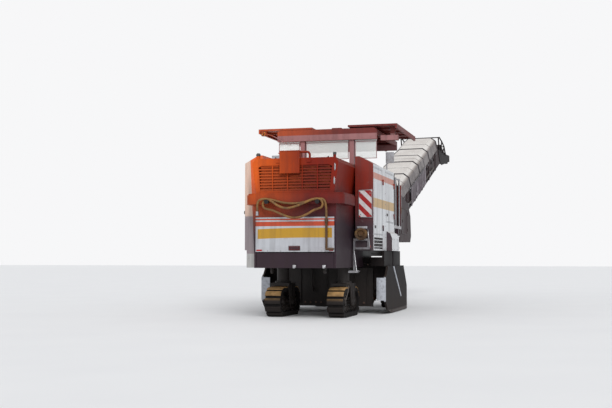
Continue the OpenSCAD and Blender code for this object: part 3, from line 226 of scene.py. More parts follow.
def dusty(f, colour, streak=0.5, low=1.5, splash=0.7, dust=DUST):
    """Grime streaks, dust on upward faces and splashes low down, laid over a colour."""
    runs = f.noise(5.0, stretch=(1.6, 1.6, 0.14)).step(0.56, 0.2)
    patch = f.noise(1.3, 3, 0.6, shift=(3, 1, 7))
    upright = 1 - f.nz.abs()
    colour = f.mix(colour, GRIME, runs * patch * upright * streak)
    fine = f.noise(38, 3, 0.7).step(0.5, 0.3)
    settled = f.nz.step(0.6, 0.5) * (0.22 + fine * 0.34)
    thrown = (1 - f.z.step(low, 1.5)) * (0.2 + patch * 0.5 + fine * 0.35) * splash
    return f.mix(colour, dust, settled.most(thrown).clamped()), settled.most(thrown)


def flare_tinted(f, colour, share=1.0):
    """The hood's enamel under painted sun flare: reddened upwards and glowing orange at the left."""
    drift = (f.noise(1.1, 3, 0.5, shift=(8, 2, 1)) - 0.5) * 0.4
    # painted light: sun flare reddens the upper part and glows orange towards the left
    colour = f.mix(colour, rgb(124, 28, 8), (f.z + drift).step(2.26, 0.85) * share)
    flare_glow = (f.y + drift).step(0.36, 1.3) * (f.z + drift).step(2.2, 1.2)
    return f.mix(colour, rgb(222, 96, 26), flare_glow * share)


def paint(name, base, faded, streak=0.5, splash=0.6, gloss=0.42, dust=DUST, sun_flare=0.0, sheen=0.3):
    """Enamel on sheet steel that has stood outdoors, with its patches of fading."""
    f = Finish(name)
    chalk = f.noise(0.9, shift=(1, 2, 3)).step(0.5, 0.34)
    colour = f.mix(base, faded, chalk * 0.75)
    # painted sun flare laid over the enamel, as strong as the given share
    if sun_flare:
        colour = flare_tinted(f, colour, sun_flare)
    if name == "canopy_paint":
        # the posts and the beam across the rear show a paler coat under the sheet's edge
        posts = 1 - f.z.step(BEAM_LOW, 0.01)
        beam = (-f.nx - 0.5).step(0, 0.1) * f.z.step(BEAM_LOW, 0.01)
        colour = f.mix(colour, rgb(160, 112, 112), beam.most(posts) * (1 - f.z.step(BEAM_TOP, 0.01)))
    mottle = f.noise(17, 4, 0.65).step(0.5, 0.5)
    colour = f.mix(colour, GRIME, mottle * 0.16)
    colour, laid = dusty(f, colour, streak, 1.3, splash, dust)
    chip = f.noise(31, 5, 0.75, shift=(7, 1, 4)).step(0.72, 0.03)
    colour = f.mix(colour, rgb(128, 96, 84), chip * 0.5)
    ripple = f.noise(2.2, 1, 0.4) * 0.5 + f.noise(240, 1, 0.5) * 0.02 - chip * 0.04
    return f.done(colour, gloss + chalk * 0.12 + laid * 0.3, f.bump(ripple, 0.006, 0.5),
                  Specular_IOR_Level=sheen)


DARK = rgb(58, 42, 50)
dark_paint = paint("dark_paint", DARK, rgb(74, 54, 62), splash=0.12, dust=MUD, sun_flare=1.0, sheen=0.16)
hood_paint = paint("hood_paint", rgb(42, 30, 40), rgb(54, 40, 48), splash=0.1, dust=MUD, sun_flare=1.0,
                   sheen=0.16)
brown_paint = paint("canopy_paint", rgb(98, 50, 50), rgb(118, 68, 66), splash=0.0, sun_flare=0.5)
# kept very dark as painted shade wherever this paint is used: conveyors, front tanks and their doors
shade_dark_paint = paint("conveyor_paint", rgb(50, 37, 39), rgb(74, 60, 62), 0.7, 0.2, dust=MUD, sheen=0.15)
soot_paint = paint("discharge_paint", rgb(20, 15, 16), rgb(36, 28, 29), 0.6, 0.1, dust=MUD, sheen=0.12)
pipe_paint = paint("pipe_paint", rgb(70, 44, 28), rgb(110, 80, 42), 0.6, 0.0)
pale_paint = paint("pale_paint", rgb(184, 186, 190), rgb(162, 160, 166), 0.6, 0.3, dust=MUD)
# near black: painted shade on the milling housing
shade_black_paint = paint("shade_black_paint", rgb(9, 7, 10), rgb(20, 16, 19), 0.5, 0.12, 0.5, MUD, sheen=0.12)
print("paints made")


def striped(name, rear=False):
    """White enamel with the machine's coloured bands, told apart by height alone."""
    f = Finish(name)
    fading = f.noise(0.8).step(0.5, 0.4)
    if rear:
        # the rear panel's white and bands are kept darker than the sides': painted shade
        white = f.mix(rgb(184, 188, 193), rgb(162, 162, 168), fading)
        bowed = f.z + f.y * 0.012 + f.y * f.y * 0.02
        orange = f.z.band(1.942, 1.971).most(f.z.band(1.825, 1.913))
        colour = f.mix(white, rgb(174, 60, 22), orange)
        yellow = bowed.band(1.596, 1.788) * f.y.abs().band(-1, 0.757)
        colour = f.mix(colour, rgb(174, 130, 14), yellow)
    else:
        white = f.mix(rgb(226, 229, 231), rgb(202, 202, 206), fading)
        colour = f.mix(white, rgb(196, 104, 66), f.z.band(2.85, 2.98) * 0.85)
        colour = f.mix(colour, rgb(196, 158, 92), f.z.band(2.26, 2.45) * 0.95)
        inward = 1 - f.y.abs().step(1.232, 0.006)
        # inner and end faces take the dark enamel with its painted sun flare
        colour = f.mix(colour, flare_tinted(f, DARK), inward.most((f.nx.abs() - 0.5).step(0, 0.1)))
        # the left cabinet's rear edge: white paint with painted light at its top and painted shade below,
        # its foot white again
        edge = (-f.nx - 0.5).step(0, 0.1) * (f.y - f.z * 0.0442).step(1.018, 0.006)
        lit_and_shaded_edge = f.mix(rgb(150, 138, 142), rgb(214, 186, 168), f.z.step(2.06, 0.03))
        lit_and_shaded_edge = f.mix(rgb(184, 184, 182), lit_and_shaded_edge, f.z.step(1.29, 0.01))
        colour = f.mix(colour, lit_and_shaded_edge, edge)
    worn = f.noise(11, 6, 0.75, shift=(5, 5, 5)).step(0.66, 0.06)
    colour = f.mix(colour, rgb(120, 108, 108), worn * 0.55)
    colour, dust = dusty(f, colour, 0.55, 1.1, 0.3)
    ripple = f.noise(1.7, 1, 0.4) * 0.6 + f.noise(260, 1, 0.5) * 0.02
    return f.done(colour, 0.33 + dust * 0.4, f.bump(ripple, 0.006, 0.5))


rear_stripes = striped("rear_stripes", rear=True)
side_stripes = striped("side_stripes")

# %% [markdown]
# Bare and half-bare metal: greasy black steel of the frame, rust-brown steel that grinds on the
# ground, polished piston rods. A track's shoes are wet black between the pads and scraped tan on
# them, and how far a point lies out from the chain's path tells which.

# %% Where the track units stand
# Station and width of each unit's column
UNITS = {"rear_left": (1.35, 0.654), "rear_right": (1.35, -0.654),
         "front_left": (5.75, 0.85), "front_right": (5.75, -0.85)}
WHEEL_C, WHEEL_Z = 0.45, 0.3         # half a unit's wheelbase, and the height of its axles


def track_of(unit):
    """The name of a unit's track node, such as track_rl."""
    end, side = unit.split("_")
    return "track_" + end[0] + side[0]


# %% Metals
def greasy_shade_dark(name, base=rgb(12, 10, 12), dusted=0.24):
    """Black steel under grease and dust, its near-black base partly painted shade."""
    f = Finish(name)
    # the near-black base is partly grease and partly painted shade under the machine
    colour = f.mix(base, rgb(26, 21, 21), f.noise(4).step(0.52, 0.3))
    colour, dust = dusty(f, colour, 0.4, 1.4, dusted, MUD)
    grain = f.noise(60, 4, 0.7) * 0.4 + f.noise(9, 2, 0.5) * 0.6
    return f.done(colour, 0.46 + dust * 0.4, f.bump(grain, 0.004, 0.6), Specular_IOR_Level=0.35)


def bare(name, base, tint, rough, metallic=1.0, rust=0.3):
    """Unpainted steel with spots of rust and fine scuffs."""
    f = Finish(name)
    colour = f.mix(base, tint, f.noise(14).step(0.5, 0.4))
    spots = f.noise(24, 5, 0.7, shift=(2, 9, 4)).step(0.6, 0.12) * rust
    colour = f.mix(colour, rgb(116, 66, 40), spots)
    scuff = f.noise(30, 2, 0.5, stretch=(0.3, 1, 3))
    return f.done(colour, rough + spots * 0.4 + scuff * 0.12, f.bump(scuff, 0.0008, 0.5),
                  metallic - spots * 0.8)


def track_finish(name, x):
    """Shoes of the track round X: black hollows, scraped tan pads."""
    f = Finish(name)
    along = ((f.x - x).abs() - WHEEL_C).most(0.0)
    up = f.z - WHEEL_Z
    out = (along * along + up * up).root()
    pad = out.step(0.287, 0.012)
    caked = f.noise(21, 4, 0.7).step(0.5, 0.35)
    colour = f.mix(rgb(10, 9, 10), rgb(28, 22, 21), caked)
    colour = f.mix(colour, rgb(34, 27, 24), pad * (0.45 + caked * 0.5))
    # sun-bleached crust on the pads that face up
    crust = pad * f.z.step(0.42, 0.18) * (0.55 + f.noise(9, 3, 0.6).step(0.5, 0.3) * 0.45)
    colour = f.mix(colour, rgb(190, 150, 98), crust)
    grain = f.noise(46, 4, 0.7)
    return f.done(colour, 0.86 - pad * 0.2, f.bump(grain, 0.006, 0.8), pad * 0.2,
                  Specular_IOR_Level=0.3)


steel = greasy_shade_dark("greasy_steel")
bright = bare("bright_steel", rgb(186, 186, 190), rgb(150, 148, 150), 0.28)
chrome = bare("chromed_rod", rgb(214, 216, 220), rgb(190, 192, 196), 0.12, rust=0.05)
worn = bare("worn_steel", rgb(122, 104, 92), rgb(86, 66, 54), 0.45, 0.7, 0.8)


# %% Rubber, plastic and glass
def rubber(name, base, dust_share=0.5, rough=0.75):
    """Rubber or plastic, greyed by dust."""
    f = Finish(name)
    colour = f.mix(base, DUST, f.noise(7).step(0.5, 0.4) * dust_share * 0.5)
    colour, dust = dusty(f, colour, 0.2, 1.0, dust_share)
    return f.done(colour, rough + dust * 0.15, f.bump(f.noise(110, 3, 0.6), 0.0008, 0.6))


belt_rubber = rubber("belt_rubber", rgb(34, 32, 33), 0.8)
black_plastic = rubber("black_plastic", rgb(36, 34, 36), 0.35, 0.5)


SLEW_X, SLEW_TURN = -0.05, math.radians(-4.5)      # the slewing axis, and how far it is turned


def cover_finish():
    """Sun-bleached covers with black steel bows and lashing straps, and painted shade on their flanks."""
    f = Finish("cover_plastic")
    cos, sin = math.cos(SLEW_TURN), math.sin(SLEW_TURN)
    along = (f.x - SLEW_X) * cos + f.y * sin         # metres from the slewing axis
    across = f.y * cos - (f.x - SLEW_X) * sin
    # painted shade: the covers' arched flanks darkened
    shaded_flank = across.abs().step(0.47, 0.06)
    colour = f.mix(rgb(246, 244, 240), rgb(224, 220, 216), f.noise(1.4).step(0.5, 0.4))
    colour = f.mix(colour, rgb(66, 50, 54), shaded_flank * (0.6 + f.noise(3) * 0.4))
    colour, dust = dusty(f, colour, 0.8, 0.5, 0.0)
    bows = along.band(1.026, 1.074, 0.004)
    # steel bows have a sharp edge, straps a softer one
    for soft, bands in ((0.004, ((2.076, 2.124), (3.176, 3.224), (4.426, 4.474), (5.55, 5.62))),
                        (0.006, ((3.79, 3.85), (3.49, 3.51), (2.64, 2.66), (1.58, 1.6), (4.9, 4.925)))):
        for low, high in bands:
            bows = bows.most(along.band(low, high, soft))
    colour = f.mix(colour, rgb(46, 40, 44), bows)
    rib = (along.wrapped(0.11) - 0.055).abs().step(0.03, 0.02) * (1 - bows)
    return f.done(colour, 0.5 + dust * 0.3, f.bump(rib, 0.004, 0.5))


def glass_finish():
    """A clear pane with a film of dust, denser at its upper and lower rims."""
    f = Finish("pane")
    film = f.noise(3).step(0.55, 0.4)
    rim = f.z.step(BEAM_LOW, 0.05).most(1 - f.z.step(3.41, 0.05)) * 0.2
    return f.done(f.mix(rgb(240, 245, 243), rgb(222, 222, 216), film * 0.4), 0.12,
                  None, 0.0, Alpha=0.5 + film * 0.1 + rim, IOR=1.45)


def board_finish():
    """Retroreflecting board: red and white diagonals falling to the right, with a honeycomb."""
    f = Finish("warning_board")
    stripe = (f.z - f.y + 0.0365).wrapped(0.248)
    red = stripe.band(0.0, 0.128, 0.006)
    colour = f.mix(rgb(206, 202, 202), rgb(158, 26, 26), red)
    comb = f.cells(260).step(0.5, 0.3)
    colour = f.mix(colour, rgb(150, 120, 110), f.noise(16, 4, 0.7).step(0.62, 0.2) * 0.5)
    return f.done(colour, 0.35, f.bump(comb, 0.0005, 0.3))


def plate_finish():
    """Side plate: near black as painted shade, a painted bluish reflection on guide and edge bar, its shoe
    scraped bare.
    """
    f = Finish("side_plate_paint")
    # near-black base: painted shade
    colour = f.mix(rgb(9, 7, 10), rgb(20, 16, 20), f.noise(1.6).step(0.5, 0.4))
    edge = 1 - f.x.step(REAR + 2.141, 0.004)
    bar = f.y.abs().step(1.3865, 0.001).most(edge) * f.z.step(0.12, 0.04)
    scraped = f.noise(13, 4, 0.7, stretch=(0.3, 1, 1)).step(0.6, 0.2)
    # pale bluish bars: painted reflection
    colour = f.mix(colour, rgb(196, 200, 208), bar * (1 - scraped * 0.5))
    shoe = 1 - f.z.step(0.085, 0.015)
    colour = f.mix(colour, rgb(84, 78, 76), shoe * 0.8)
    colour, dust = dusty(f, colour, 0.5, 0.4, 0.5, MUD)
    grain = f.noise(40, 3, 0.6, stretch=(0.3, 1, 1))
    return f.done(colour, 0.6 + dust * 0.3 - shoe * 0.1, f.bump(grain, 0.002, 0.5), shoe * 0.5,
                  Specular_IOR_Level=0.12)


DRUM_X, DRUM_Z = 3.4, 0.63           # station and height of the drum's axis


def drum_finish():
    """Milling drum: caked tube, scuffed holders, and pick tips ground to bare metal."""
    f = Finish("milling_drum")
    x, z = f.x - (REAR + DRUM_X), f.z - DRUM_Z
    out = (x * x + z * z).root()
    tip = out.step(0.452, 0.02)
    cake = f.noise(17, 4, 0.7).step(0.5, 0.3)
    colour = f.mix(rgb(52, 42, 38), rgb(96, 76, 60), cake)
    colour = f.mix(colour, rgb(120, 76, 50), out.step(0.37, 0.03) * 0.6)
    colour = f.mix(colour, rgb(188, 182, 176), tip)
    grain = f.noise(50, 4, 0.7)
    return f.done(colour, 0.75 - tip * 0.4, f.bump(grain, 0.004, 0.7), tip * 0.9)


def cooler_finish():
    """Cooler core: fine bright fins with oil and fluff between dark tanks."""
    f = Finish("cooler_core")
    fin = f.z.wrapped(0.006).band(0.001, 0.005, 0.001)
    fin = fin * f.y.wrapped(0.018).band(0.003, 0.016, 0.001)
    core = f.nx.abs().step(0.5, 0.1)
    colour = f.mix(rgb(40, 36, 38), f.mix(rgb(118, 112, 108), rgb(20, 18, 18), fin), core)
    colour = f.mix(colour, MUD, f.noise(4, 5, 0.7).step(0.55, 0.1) * 0.6)
    return f.done(colour, 0.6, f.bump(fin * core, 0.003, 0.6), core * (1 - fin) * 0.5)


covers = cover_finish()
pane = glass_finish()
board = board_finish()
plates, drum, core = plate_finish(), drum_finish(), cooler_finish()

# %% Which node wears which finish
wears = {
    "rear_hood grille ledge rear_flap exhaust_box hood_fittings": hood_paint,
    "bulkhead post_sleeves": dark_paint, "drum_housing": shade_black_paint,
    "side_plate_left side_plate_right": plates,
    "stripe_panel": rear_stripes,
    "cabinet_left cabinet_right door_left door_right gate_left gate_right fairings platform":
        side_stripes,
    "canopy_frame extension_left extension_right": brown_paint,
    "main_frame lashing_eyes engine_block scraper leg_rl leg_rr leg_fl leg_fr turntable lift_barrels"
    " hose_hooks": steel, "standpipe": pipe_paint, "cooler": core,
    "rails rear_steps": bright, "lift_rods": chrome, "hose_fitting": bright,
    "receiving_conveyor conveyor_frame front_tanks": shade_dark_paint, "discharge_hood": soot_paint,
    "conveyor_covers": covers, "conveyor_belt": belt_rubber, "milling_drum": drum,
    "consoles seats": black_plastic, "mirrors": bright, "warning_board": board, "rear_panes": pane,
}
for names, finish in wears.items():
    for name in names.split():
        for slot in nodes[name].material_slots:
            slot.material = finish
for unit, (x, y) in UNITS.items():
    for slot in nodes[track_of(unit)].material_slots:
        slot.material = track_finish(track_of(unit), REAR + x)
print("finishes given to", sum(len(n.split()) for n in wears), "nodes and 4 tracks")


# %% Floor and background
def floor_finish():
    """The studio's pale floor."""
    f = Finish("pale_floor")
    colour = f.mix(rgb(238, 238, 238), rgb(232, 232, 233), f.noise(0.6, 3, 0.5))
    return f.done(colour, 0.8)


bpy.ops.object.select_all(action="DESELECT")
bpy.ops.mesh.primitive_plane_add(size=240, location=(0, 0, 0))
floor = bpy.context.object
floor.name = "floor"
floor.data.materials.append(floor_finish())

world = bpy.data.worlds.new("studio")
bpy.context.scene.world = world
world.use_nodes = True
tree = world.node_tree
path = tree.nodes.new("ShaderNodeLightPath")
soft, seen = tree.nodes["Background"], tree.nodes.new("ShaderNodeBackground")
for light, colour, strength in ((soft, (0.95, 0.97, 1.0, 1), 0.62), (seen, (0.93, 0.93, 0.94, 1), 1.0)):
    light.inputs["Color"].default_value = colour
    light.inputs["Strength"].default_value = strength
either = tree.nodes.new("ShaderNodeMath")
either.operation = "MAXIMUM"
tree.links.new(path.outputs["Is Camera Ray"], either.inputs[0])
tree.links.new(path.outputs["Is Transmission Ray"], either.inputs[1])
blend = tree.nodes.new("ShaderNodeMixShader")
tree.links.new(either.outputs[0], blend.inputs[0])
tree.links.new(soft.outputs[0], blend.inputs[1])
tree.links.new(seen.outputs[0], blend.inputs[2])
tree.links.new(blend.outputs[0], tree.nodes["World Output"].inputs[0])

# %% [markdown]
# ## The water hose
#
# A free hose feeds the spray water tank. It starts on the standpipe, is thrown in three lays
# over two pegs under the hood's ledge, and its end with the coupling hangs at the left. It is one
# spline with a round bevel, along the same route as the hose's solid.

# %% Route of the hose, in millimetres from the hood's rear face
HOSE_D = 0.046
INNER_LAYS = ((-645, 2290), (-600, 2335), (-510, 2345), (-380, 2325), (-200, 2278), (0, 2262), (200, 2280),
              (380, 2325), (519, 2352), (588, 2324), (616, 2255), (588, 2186), (519, 2157), (400, 2128),
              (250, 2062), (100, 2004), (-30, 1984), (-160, 2000), (-300, 2058), (-420, 2126), (-510, 2155))
OUTER_LAY = ((-510, 2345), (-380, 2326), (-200, 2250), (0, 2184), (150, 2172), (300, 2226), (420, 2308),
             (519, 2352), (610, 2352), (681, 2323), (712, 2250), (712, 2180), (712, 2110))
HOSE_ROUTE = [(-75, -660, 1980), (-75, -660, 2050), (-96, -660, 2135), (-122, -660, 2215)]
HOSE_ROUTE += [(-127, y, z) for y, z in INNER_LAYS]
HOSE_ROUTE += [(-138, -577, 2183), (-151, -605, 2250), (-165, -577, 2317)]
HOSE_ROUTE += [(-176, y, z) for y, z in OUTER_LAY]


def smooth_route(points, steps):
    """Points on the smooth curve through a route, some steps to each stretch."""
    r = [Vector(p) for p in points]
    r = [2 * r[0] - r[1]] + r + [2 * r[-1] - r[-2]]
    made = []
    for i in range(len(r) - 3):
        a, b, c, d = r[i:i + 4]
        for k in range(steps):
            t = k / steps
            made.append(0.5 * (2 * b + (c - a) * t + (2 * a - 5 * b + 4 * c - d) * t * t
                               + (3 * b - a - 3 * c + d) * t * t * t))
    return made + [r[-2]]


hose_line = [st(p.x / 1000, p.y / 1000, p.z / 1000) for p in smooth_route(HOSE_ROUTE, 4)]
curve = bpy.data.curves.new("hose", "CURVE")
curve.dimensions = "3D"
curve.bevel_depth = HOSE_D / 2
curve.bevel_resolution = 5
spline = curve.splines.new("POLY")
spline.points.add(len(hose_line) - 1)
for point, place in zip(spline.points, hose_line):
    point.co = (*place, 1)
curve.use_fill_caps = True
hose = bpy.data.objects.new("water_hose", curve)
bpy.context.scene.collection.objects.link(hose)


def hose_finish():
    """Woven, rubbed hose: a fine spiral of cord under dirty yellow-brown rubber."""
    f = Finish("hose_weave")
    weave = (f.y + f.z * 0.6).wrapped(0.006).step(0.003, 0.002)
    colour = f.mix(rgb(158, 112, 50), rgb(104, 70, 34), f.noise(9).step(0.5, 0.4))
    colour = f.mix(colour, rgb(92, 70, 40), weave * 0.35)
    colour = f.mix(colour, GRIME, (f.noise(5, 3, 0.6, shift=(4, 0, 0)).step(0.55, 0.2)) * 0.5)
    return f.done(colour, 0.62, f.bump(weave, 0.0008, 0.6))


curve.materials.append(hose_finish())
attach(hose, "chassis")
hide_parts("hose")

# %% [markdown]
# ## Tools for modelling
#
# Each new piece starts as one of Blender's primitives at its real size and place. It is then
# shaped with the same operators as by hand in edit mode. A few helpers save typing: they
# deselect everything first, put a primitive between two corners or along an axis, pick faces by
# the way they look, and at the end settle a piece: its place goes into its mesh, its edges are
# smoothed by angle, and it gets its finish and the body that it moves with.

# %% Helpers for primitives and edit mode
AHEAD, BACK, LEFT, RIGHT = (1, 0, 0), (-1, 0, 0), (0, 1, 0), (0, -1, 0)
UP, DOWN = (0, 0, 1), (0, 0, -1)
SIDES = {"left": 1, "right": -1}


def cube(low, high):
    """A block between two corners."""
    bpy.ops.object.select_all(action="DESELECT")
    low, high = Vector(low), Vector(high)
    bpy.ops.mesh.primitive_cube_add(size=1, location=(low + high) / 2)
    made = bpy.context.object
    made.scale = high - low
    bpy.ops.object.transform_apply(location=True, rotation=True, scale=True)
    return made


def round_bar(a, b, radius, sides=24):
    """A cylinder from one point to another."""
    bpy.ops.object.select_all(action="DESELECT")
    a, b = Vector(a), Vector(b)
    bpy.ops.mesh.primitive_cylinder_add(vertices=sides, radius=radius, depth=(b - a).length,
                                        location=(a + b) / 2)
    made = bpy.context.object
    made.rotation_euler = (b - a).to_track_quat("Z", "Y").to_euler()
    bpy.ops.object.transform_apply(location=True, rotation=True, scale=True)
    return made


def torus(place, major, minor, segments=32, **turned):
    """A ring round a place, lying flat unless it is turned."""
    bpy.ops.object.select_all(action="DESELECT")
    bpy.ops.mesh.primitive_torus_add(location=place, major_radius=major, minor_radius=minor,
                                     major_segments=segments, minor_segments=8, **turned)
    return bpy.context.object


def only(*things):
    """Selects these pieces and nothing else."""
    bpy.ops.object.select_all(action="DESELECT")
    for thing in things:
        thing.select_set(True)
    bpy.context.view_layer.objects.active = things[0]


def facing(way, least=0.9):
    """A test for faces that look one way."""
    return lambda centre, normal: normal.dot(Vector(way)) > least


def ends_on(axis):
    """A test for faces that look either way along an axis."""
    return lambda centre, normal: abs(normal[axis]) > 0.9


def faces_where(thing, test):
    """Opens a piece in edit mode with only the faces that pass a test selected."""
    only(thing)
    bpy.ops.object.mode_set(mode="EDIT")
    bpy.ops.mesh.select_mode(type="FACE")
    bpy.ops.mesh.select_all(action="DESELECT")
    bpy.ops.object.mode_set(mode="OBJECT")
    for face in thing.data.polygons:
        face.select = bool(test(face.center, face.normal))
    bpy.ops.object.mode_set(mode="EDIT")


def closed():
    """Leaves edit mode."""
    bpy.ops.object.mode_set(mode="OBJECT")


def sunk(thing, way, border, depth):
    """Insets the faces that look one way and pushes the inner part in, or out if negative."""
    faces_where(thing, facing(way))
    bpy.ops.mesh.inset(thickness=border, depth=0)
    bpy.ops.mesh.extrude_region_move(
        TRANSFORM_OT_translate={"value": tuple(-Vector(way) * depth)})
    closed()
    return thing


def leaned(thing, way, shift):
    """Shifts the faces that look one way, so that a piece leans or tapers."""
    faces_where(thing, facing(way))
    bpy.ops.transform.translate(value=shift)
    closed()
    return thing


def tapered(thing, way, scale, least=0.9):
    """Scales the faces that look one way about their own middle."""
    faces_where(thing, facing(way, least))
    bpy.ops.transform.resize(value=scale)
    closed()
    return thing


def opened(thing, test, border=0.0):
    """Cuts faces away, and leaves a border of them round each hole."""
    faces_where(thing, test)
    if border:
        bpy.ops.mesh.inset(thickness=border, depth=0)
    bpy.ops.mesh.delete(type="FACE")
    closed()
    return thing


def applied(thing, kind, **settings):
    """Adds a modifier to a piece, sets it and applies it."""
    only(thing)
    bpy.ops.object.modifier_add(type=kind)
    added = thing.modifiers[-1]
    for key, value in settings.items():
        setattr(added, key, value)
    bpy.ops.object.modifier_apply(modifier=added.name)
    return thing


def rounded(thing, width, segments=2):
    """Bevels the sharp edges of a piece."""
    return applied(thing, "BEVEL", width=width, segments=segments, limit_method="ANGLE",
                   angle_limit=math.radians(40))


def block(low, high, edge, segments=2):
    """A block with soft edges."""
    return rounded(cube(low, high), edge, segments)


def pressed(low, high, way, border, depth, edge):
    """A block with soft edges and one face sunk, or raised if its depth is negative."""
    return rounded(sunk(cube(low, high), way, border, depth), edge)


def rod(a, b, radius, sides, edge, segments=2):
    """A round bar with soft edges."""
    return rounded(round_bar(a, b, radius, sides), edge, segments)


def capped(a, b, radius, sides, border, depth, edge):
    """A round bar with soft edges and its far end sunk, or raised if its depth is negative."""
    bar = round_bar(a, b, radius, sides)
    return rounded(sunk(bar, (Vector(b) - Vector(a)).normalized(), border, depth), edge)


def joined(parts):
    """Several pieces made one object."""
    only(*parts)
    if len(parts) > 1:
        bpy.ops.object.join()
    return bpy.context.object


def twin(thing, matrix):
    """A copy of a piece with its own mesh, moved by a matrix."""
    again = thing.copy()
    again.data = thing.data.copy()
    again.data.transform(matrix)
    bpy.context.scene.collection.objects.link(again)
    return again


def copied(thing, matrices):
    """Copies of a piece, moved by matrices, in one object."""
    made = [twin(thing, matrix) for matrix in matrices]
    bpy.data.objects.remove(thing)
    return joined(made)


def mirrored(thing):
    """Adds the piece's mirror image on the machine's other side."""
    other = twin(thing, Matrix.Scale(-1, 4, (0, 1, 0)))
    other.data.flip_normals()
    return joined([thing, other])


def tilted(thing, pivot, degrees):
    """Turns a piece about the axis across the machine through a point."""
    turn = Matrix.Rotation(math.radians(degrees), 4, "Y")
    thing.data.transform(Matrix.Translation(pivot) @ turn @ Matrix.Translation(-pivot))
    return thing


def settle(thing, name, body, finish, angle=35):
    """Names a finished piece, smooths it, and says what it rides on."""
    only(thing)
    bpy.ops.object.transform_apply(location=True, rotation=True, scale=True)
    bpy.ops.object.shade_smooth_by_angle(angle=math.radians(angle))
    thing.name = name
    thing.data.materials.clear()
    thing.data.materials.append(finish)
    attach(thing, body)
    return thing


def line(name, paths, radius, body, finish, sides=4):
    """Pipes or fixed hoses along smooth paths, made one mesh."""
    data = bpy.data.curves.new(name, "CURVE")
    data.dimensions = "3D"
    data.bevel_depth, data.bevel_resolution = radius, sides
    data.use_fill_caps = True
    for path in paths:
        made = data.splines.new("NURBS")
        made.points.add(len(path) - 1)
        for point, place in zip(made.points, path):
            point.co = (*place, 1)
        made.use_endpoint_u = True
        made.order_u = min(4, len(path))
        made.resolution_u = 6
    thing = bpy.data.objects.new(name, data)
    bpy.context.scene.collection.objects.link(thing)
    only(thing)
    bpy.ops.object.convert(target="MESH")
    return settle(bpy.context.object, name, body, finish)


def hexes(name, body, spots, way, radius=0.011, height=0.009, finish=bright):
    """Hexagon bolts on washers: one is modelled, and copied to each spot."""
    bolt = rod((0, 0, 0), (0, 0, height), radius, 6, radius * 0.12, 1)
    washer = round_bar((0, 0, -0.002), (0, 0, 0.002), radius * 1.5, 16)
    turn = Vector(way).to_track_quat("Z", "Y").to_matrix().to_4x4()
    thing = copied(joined([bolt, washer]), [Matrix.Translation(Vector(s)) @ turn for s in spots])
    return settle(thing, name, body, finish)


def row(a, b, count):
    """Evenly spaced points from one place to another."""
    a, b = Vector(a), Vector(b)
    return [a.lerp(b, i / (count - 1)) for i in range(count)]


def circle(radius, count, start=0.0):
    """Evenly spaced points round a circle, from a share of a step."""
    turns = [(k + start) * 2 * math.pi / count for k in range(count)]
    return [(radius * math.cos(a), radius * math.sin(a)) for a in turns]


# %% [markdown]
# ## The rear of the hood
#
# The striped panel carries a grip in a dark red frame and two red reflectors. Bolts hold the
# panel and the hood's seams, two leaves hinge the grille, and over-centre latches hold the lower
# flap.

# %% Pull, reflectors, latches and bolts at the rear
pull_paint = paint("pull_paint", rgb(58, 16, 20), rgb(84, 30, 32), 0.2, 0.0)
pull = pressed(st(-0.0335, -0.116, 1.348), st(-0.028, 0.116, 1.44), BACK, 0.006, 0.004, 0.0015)
settle(pull, "pull_frame", "chassis", pull_paint)
grip = pressed(st(-0.031, -0.085, 1.38), st(-0.024, 0.085, 1.408), BACK, 0.006, -0.004, 0.003)
settle(grip, "pull_grip", "chassis", dark_paint)


def lens_finish(name, colour, rough=0.2):
    """Ribbed plastic lens of a lamp or reflector."""
    f = Finish(name)
    prism = f.cells(130).step(0.4, 0.4)
    shade = f.mix(colour, tuple(c * 0.35 for c in colour[:3]) + (1,), prism * 0.6)
    return f.done(shade, rough, f.bump(prism, 0.001, 0.5))


red_lens = lens_finish("red_lens", rgb(190, 22, 24))
amber_lens = lens_finish("amber_lens", rgb(226, 130, 22))
clear_lens = lens_finish("clear_lens", rgb(228, 230, 232), 0.1)


def bezel(centre, way, radius, depth, lens, name, body):
    """A round lamp: a spun rim with its lens set back in it."""
    centre, way = Vector(centre), Vector(way)
    rim = capped(centre, centre + way * depth, radius, 28, radius * 0.14, depth * 0.45, radius * 0.04)
    settle(rim, name + "_rim", body, black_plastic)
    glass = capped(centre + way * depth * 0.4, centre + way * depth * 0.8, radius * 0.84, 24,
                   radius * 0.3, -depth * 0.14, radius * 0.03)
    settle(glass, name + "_lens", body, lens)


for word, y0, y1 in (("left", 0.665, 0.782), ("right", -0.782, -0.7)):
    strip = pressed(st(-0.026, y0, 1.338), st(-0.019, y1, 1.366), BACK, 0.004, -0.003, 0.001)
    settle(strip, "reflector_" + word, "chassis", red_lens)

edge = [st(-0.0215, y, z) for z in (1.34, 1.98) for y in (-0.55, -0.28, 0.28, 0.55)]
hexes("panel_bolts", "chassis", edge, BACK, 0.008, 0.005)
seam = [st(-0.0005, side * 0.816, z) for side in (-1, 1) for z in (1.08, 1.28, 1.5, 1.72, 1.94, 2.16)]
hexes("seam_bolts", "chassis", seam, BACK, 0.009, 0.006, dark_paint)

latches = []
for y in (0.0, -0.6):
    latches.append(block(st(-0.03, y - 0.034, 1.012), st(-0.015, y + 0.034, 1.066), 0.003))
    lever = cube(st(-0.048, y - 0.02, 1.0), st(-0.03, y + 0.02, 1.058))
    latches.append(rounded(leaned(lever, DOWN, (-0.012, 0, 0)), 0.003))
settle(joined(latches), "flap_latches", "rear_flap", bright)

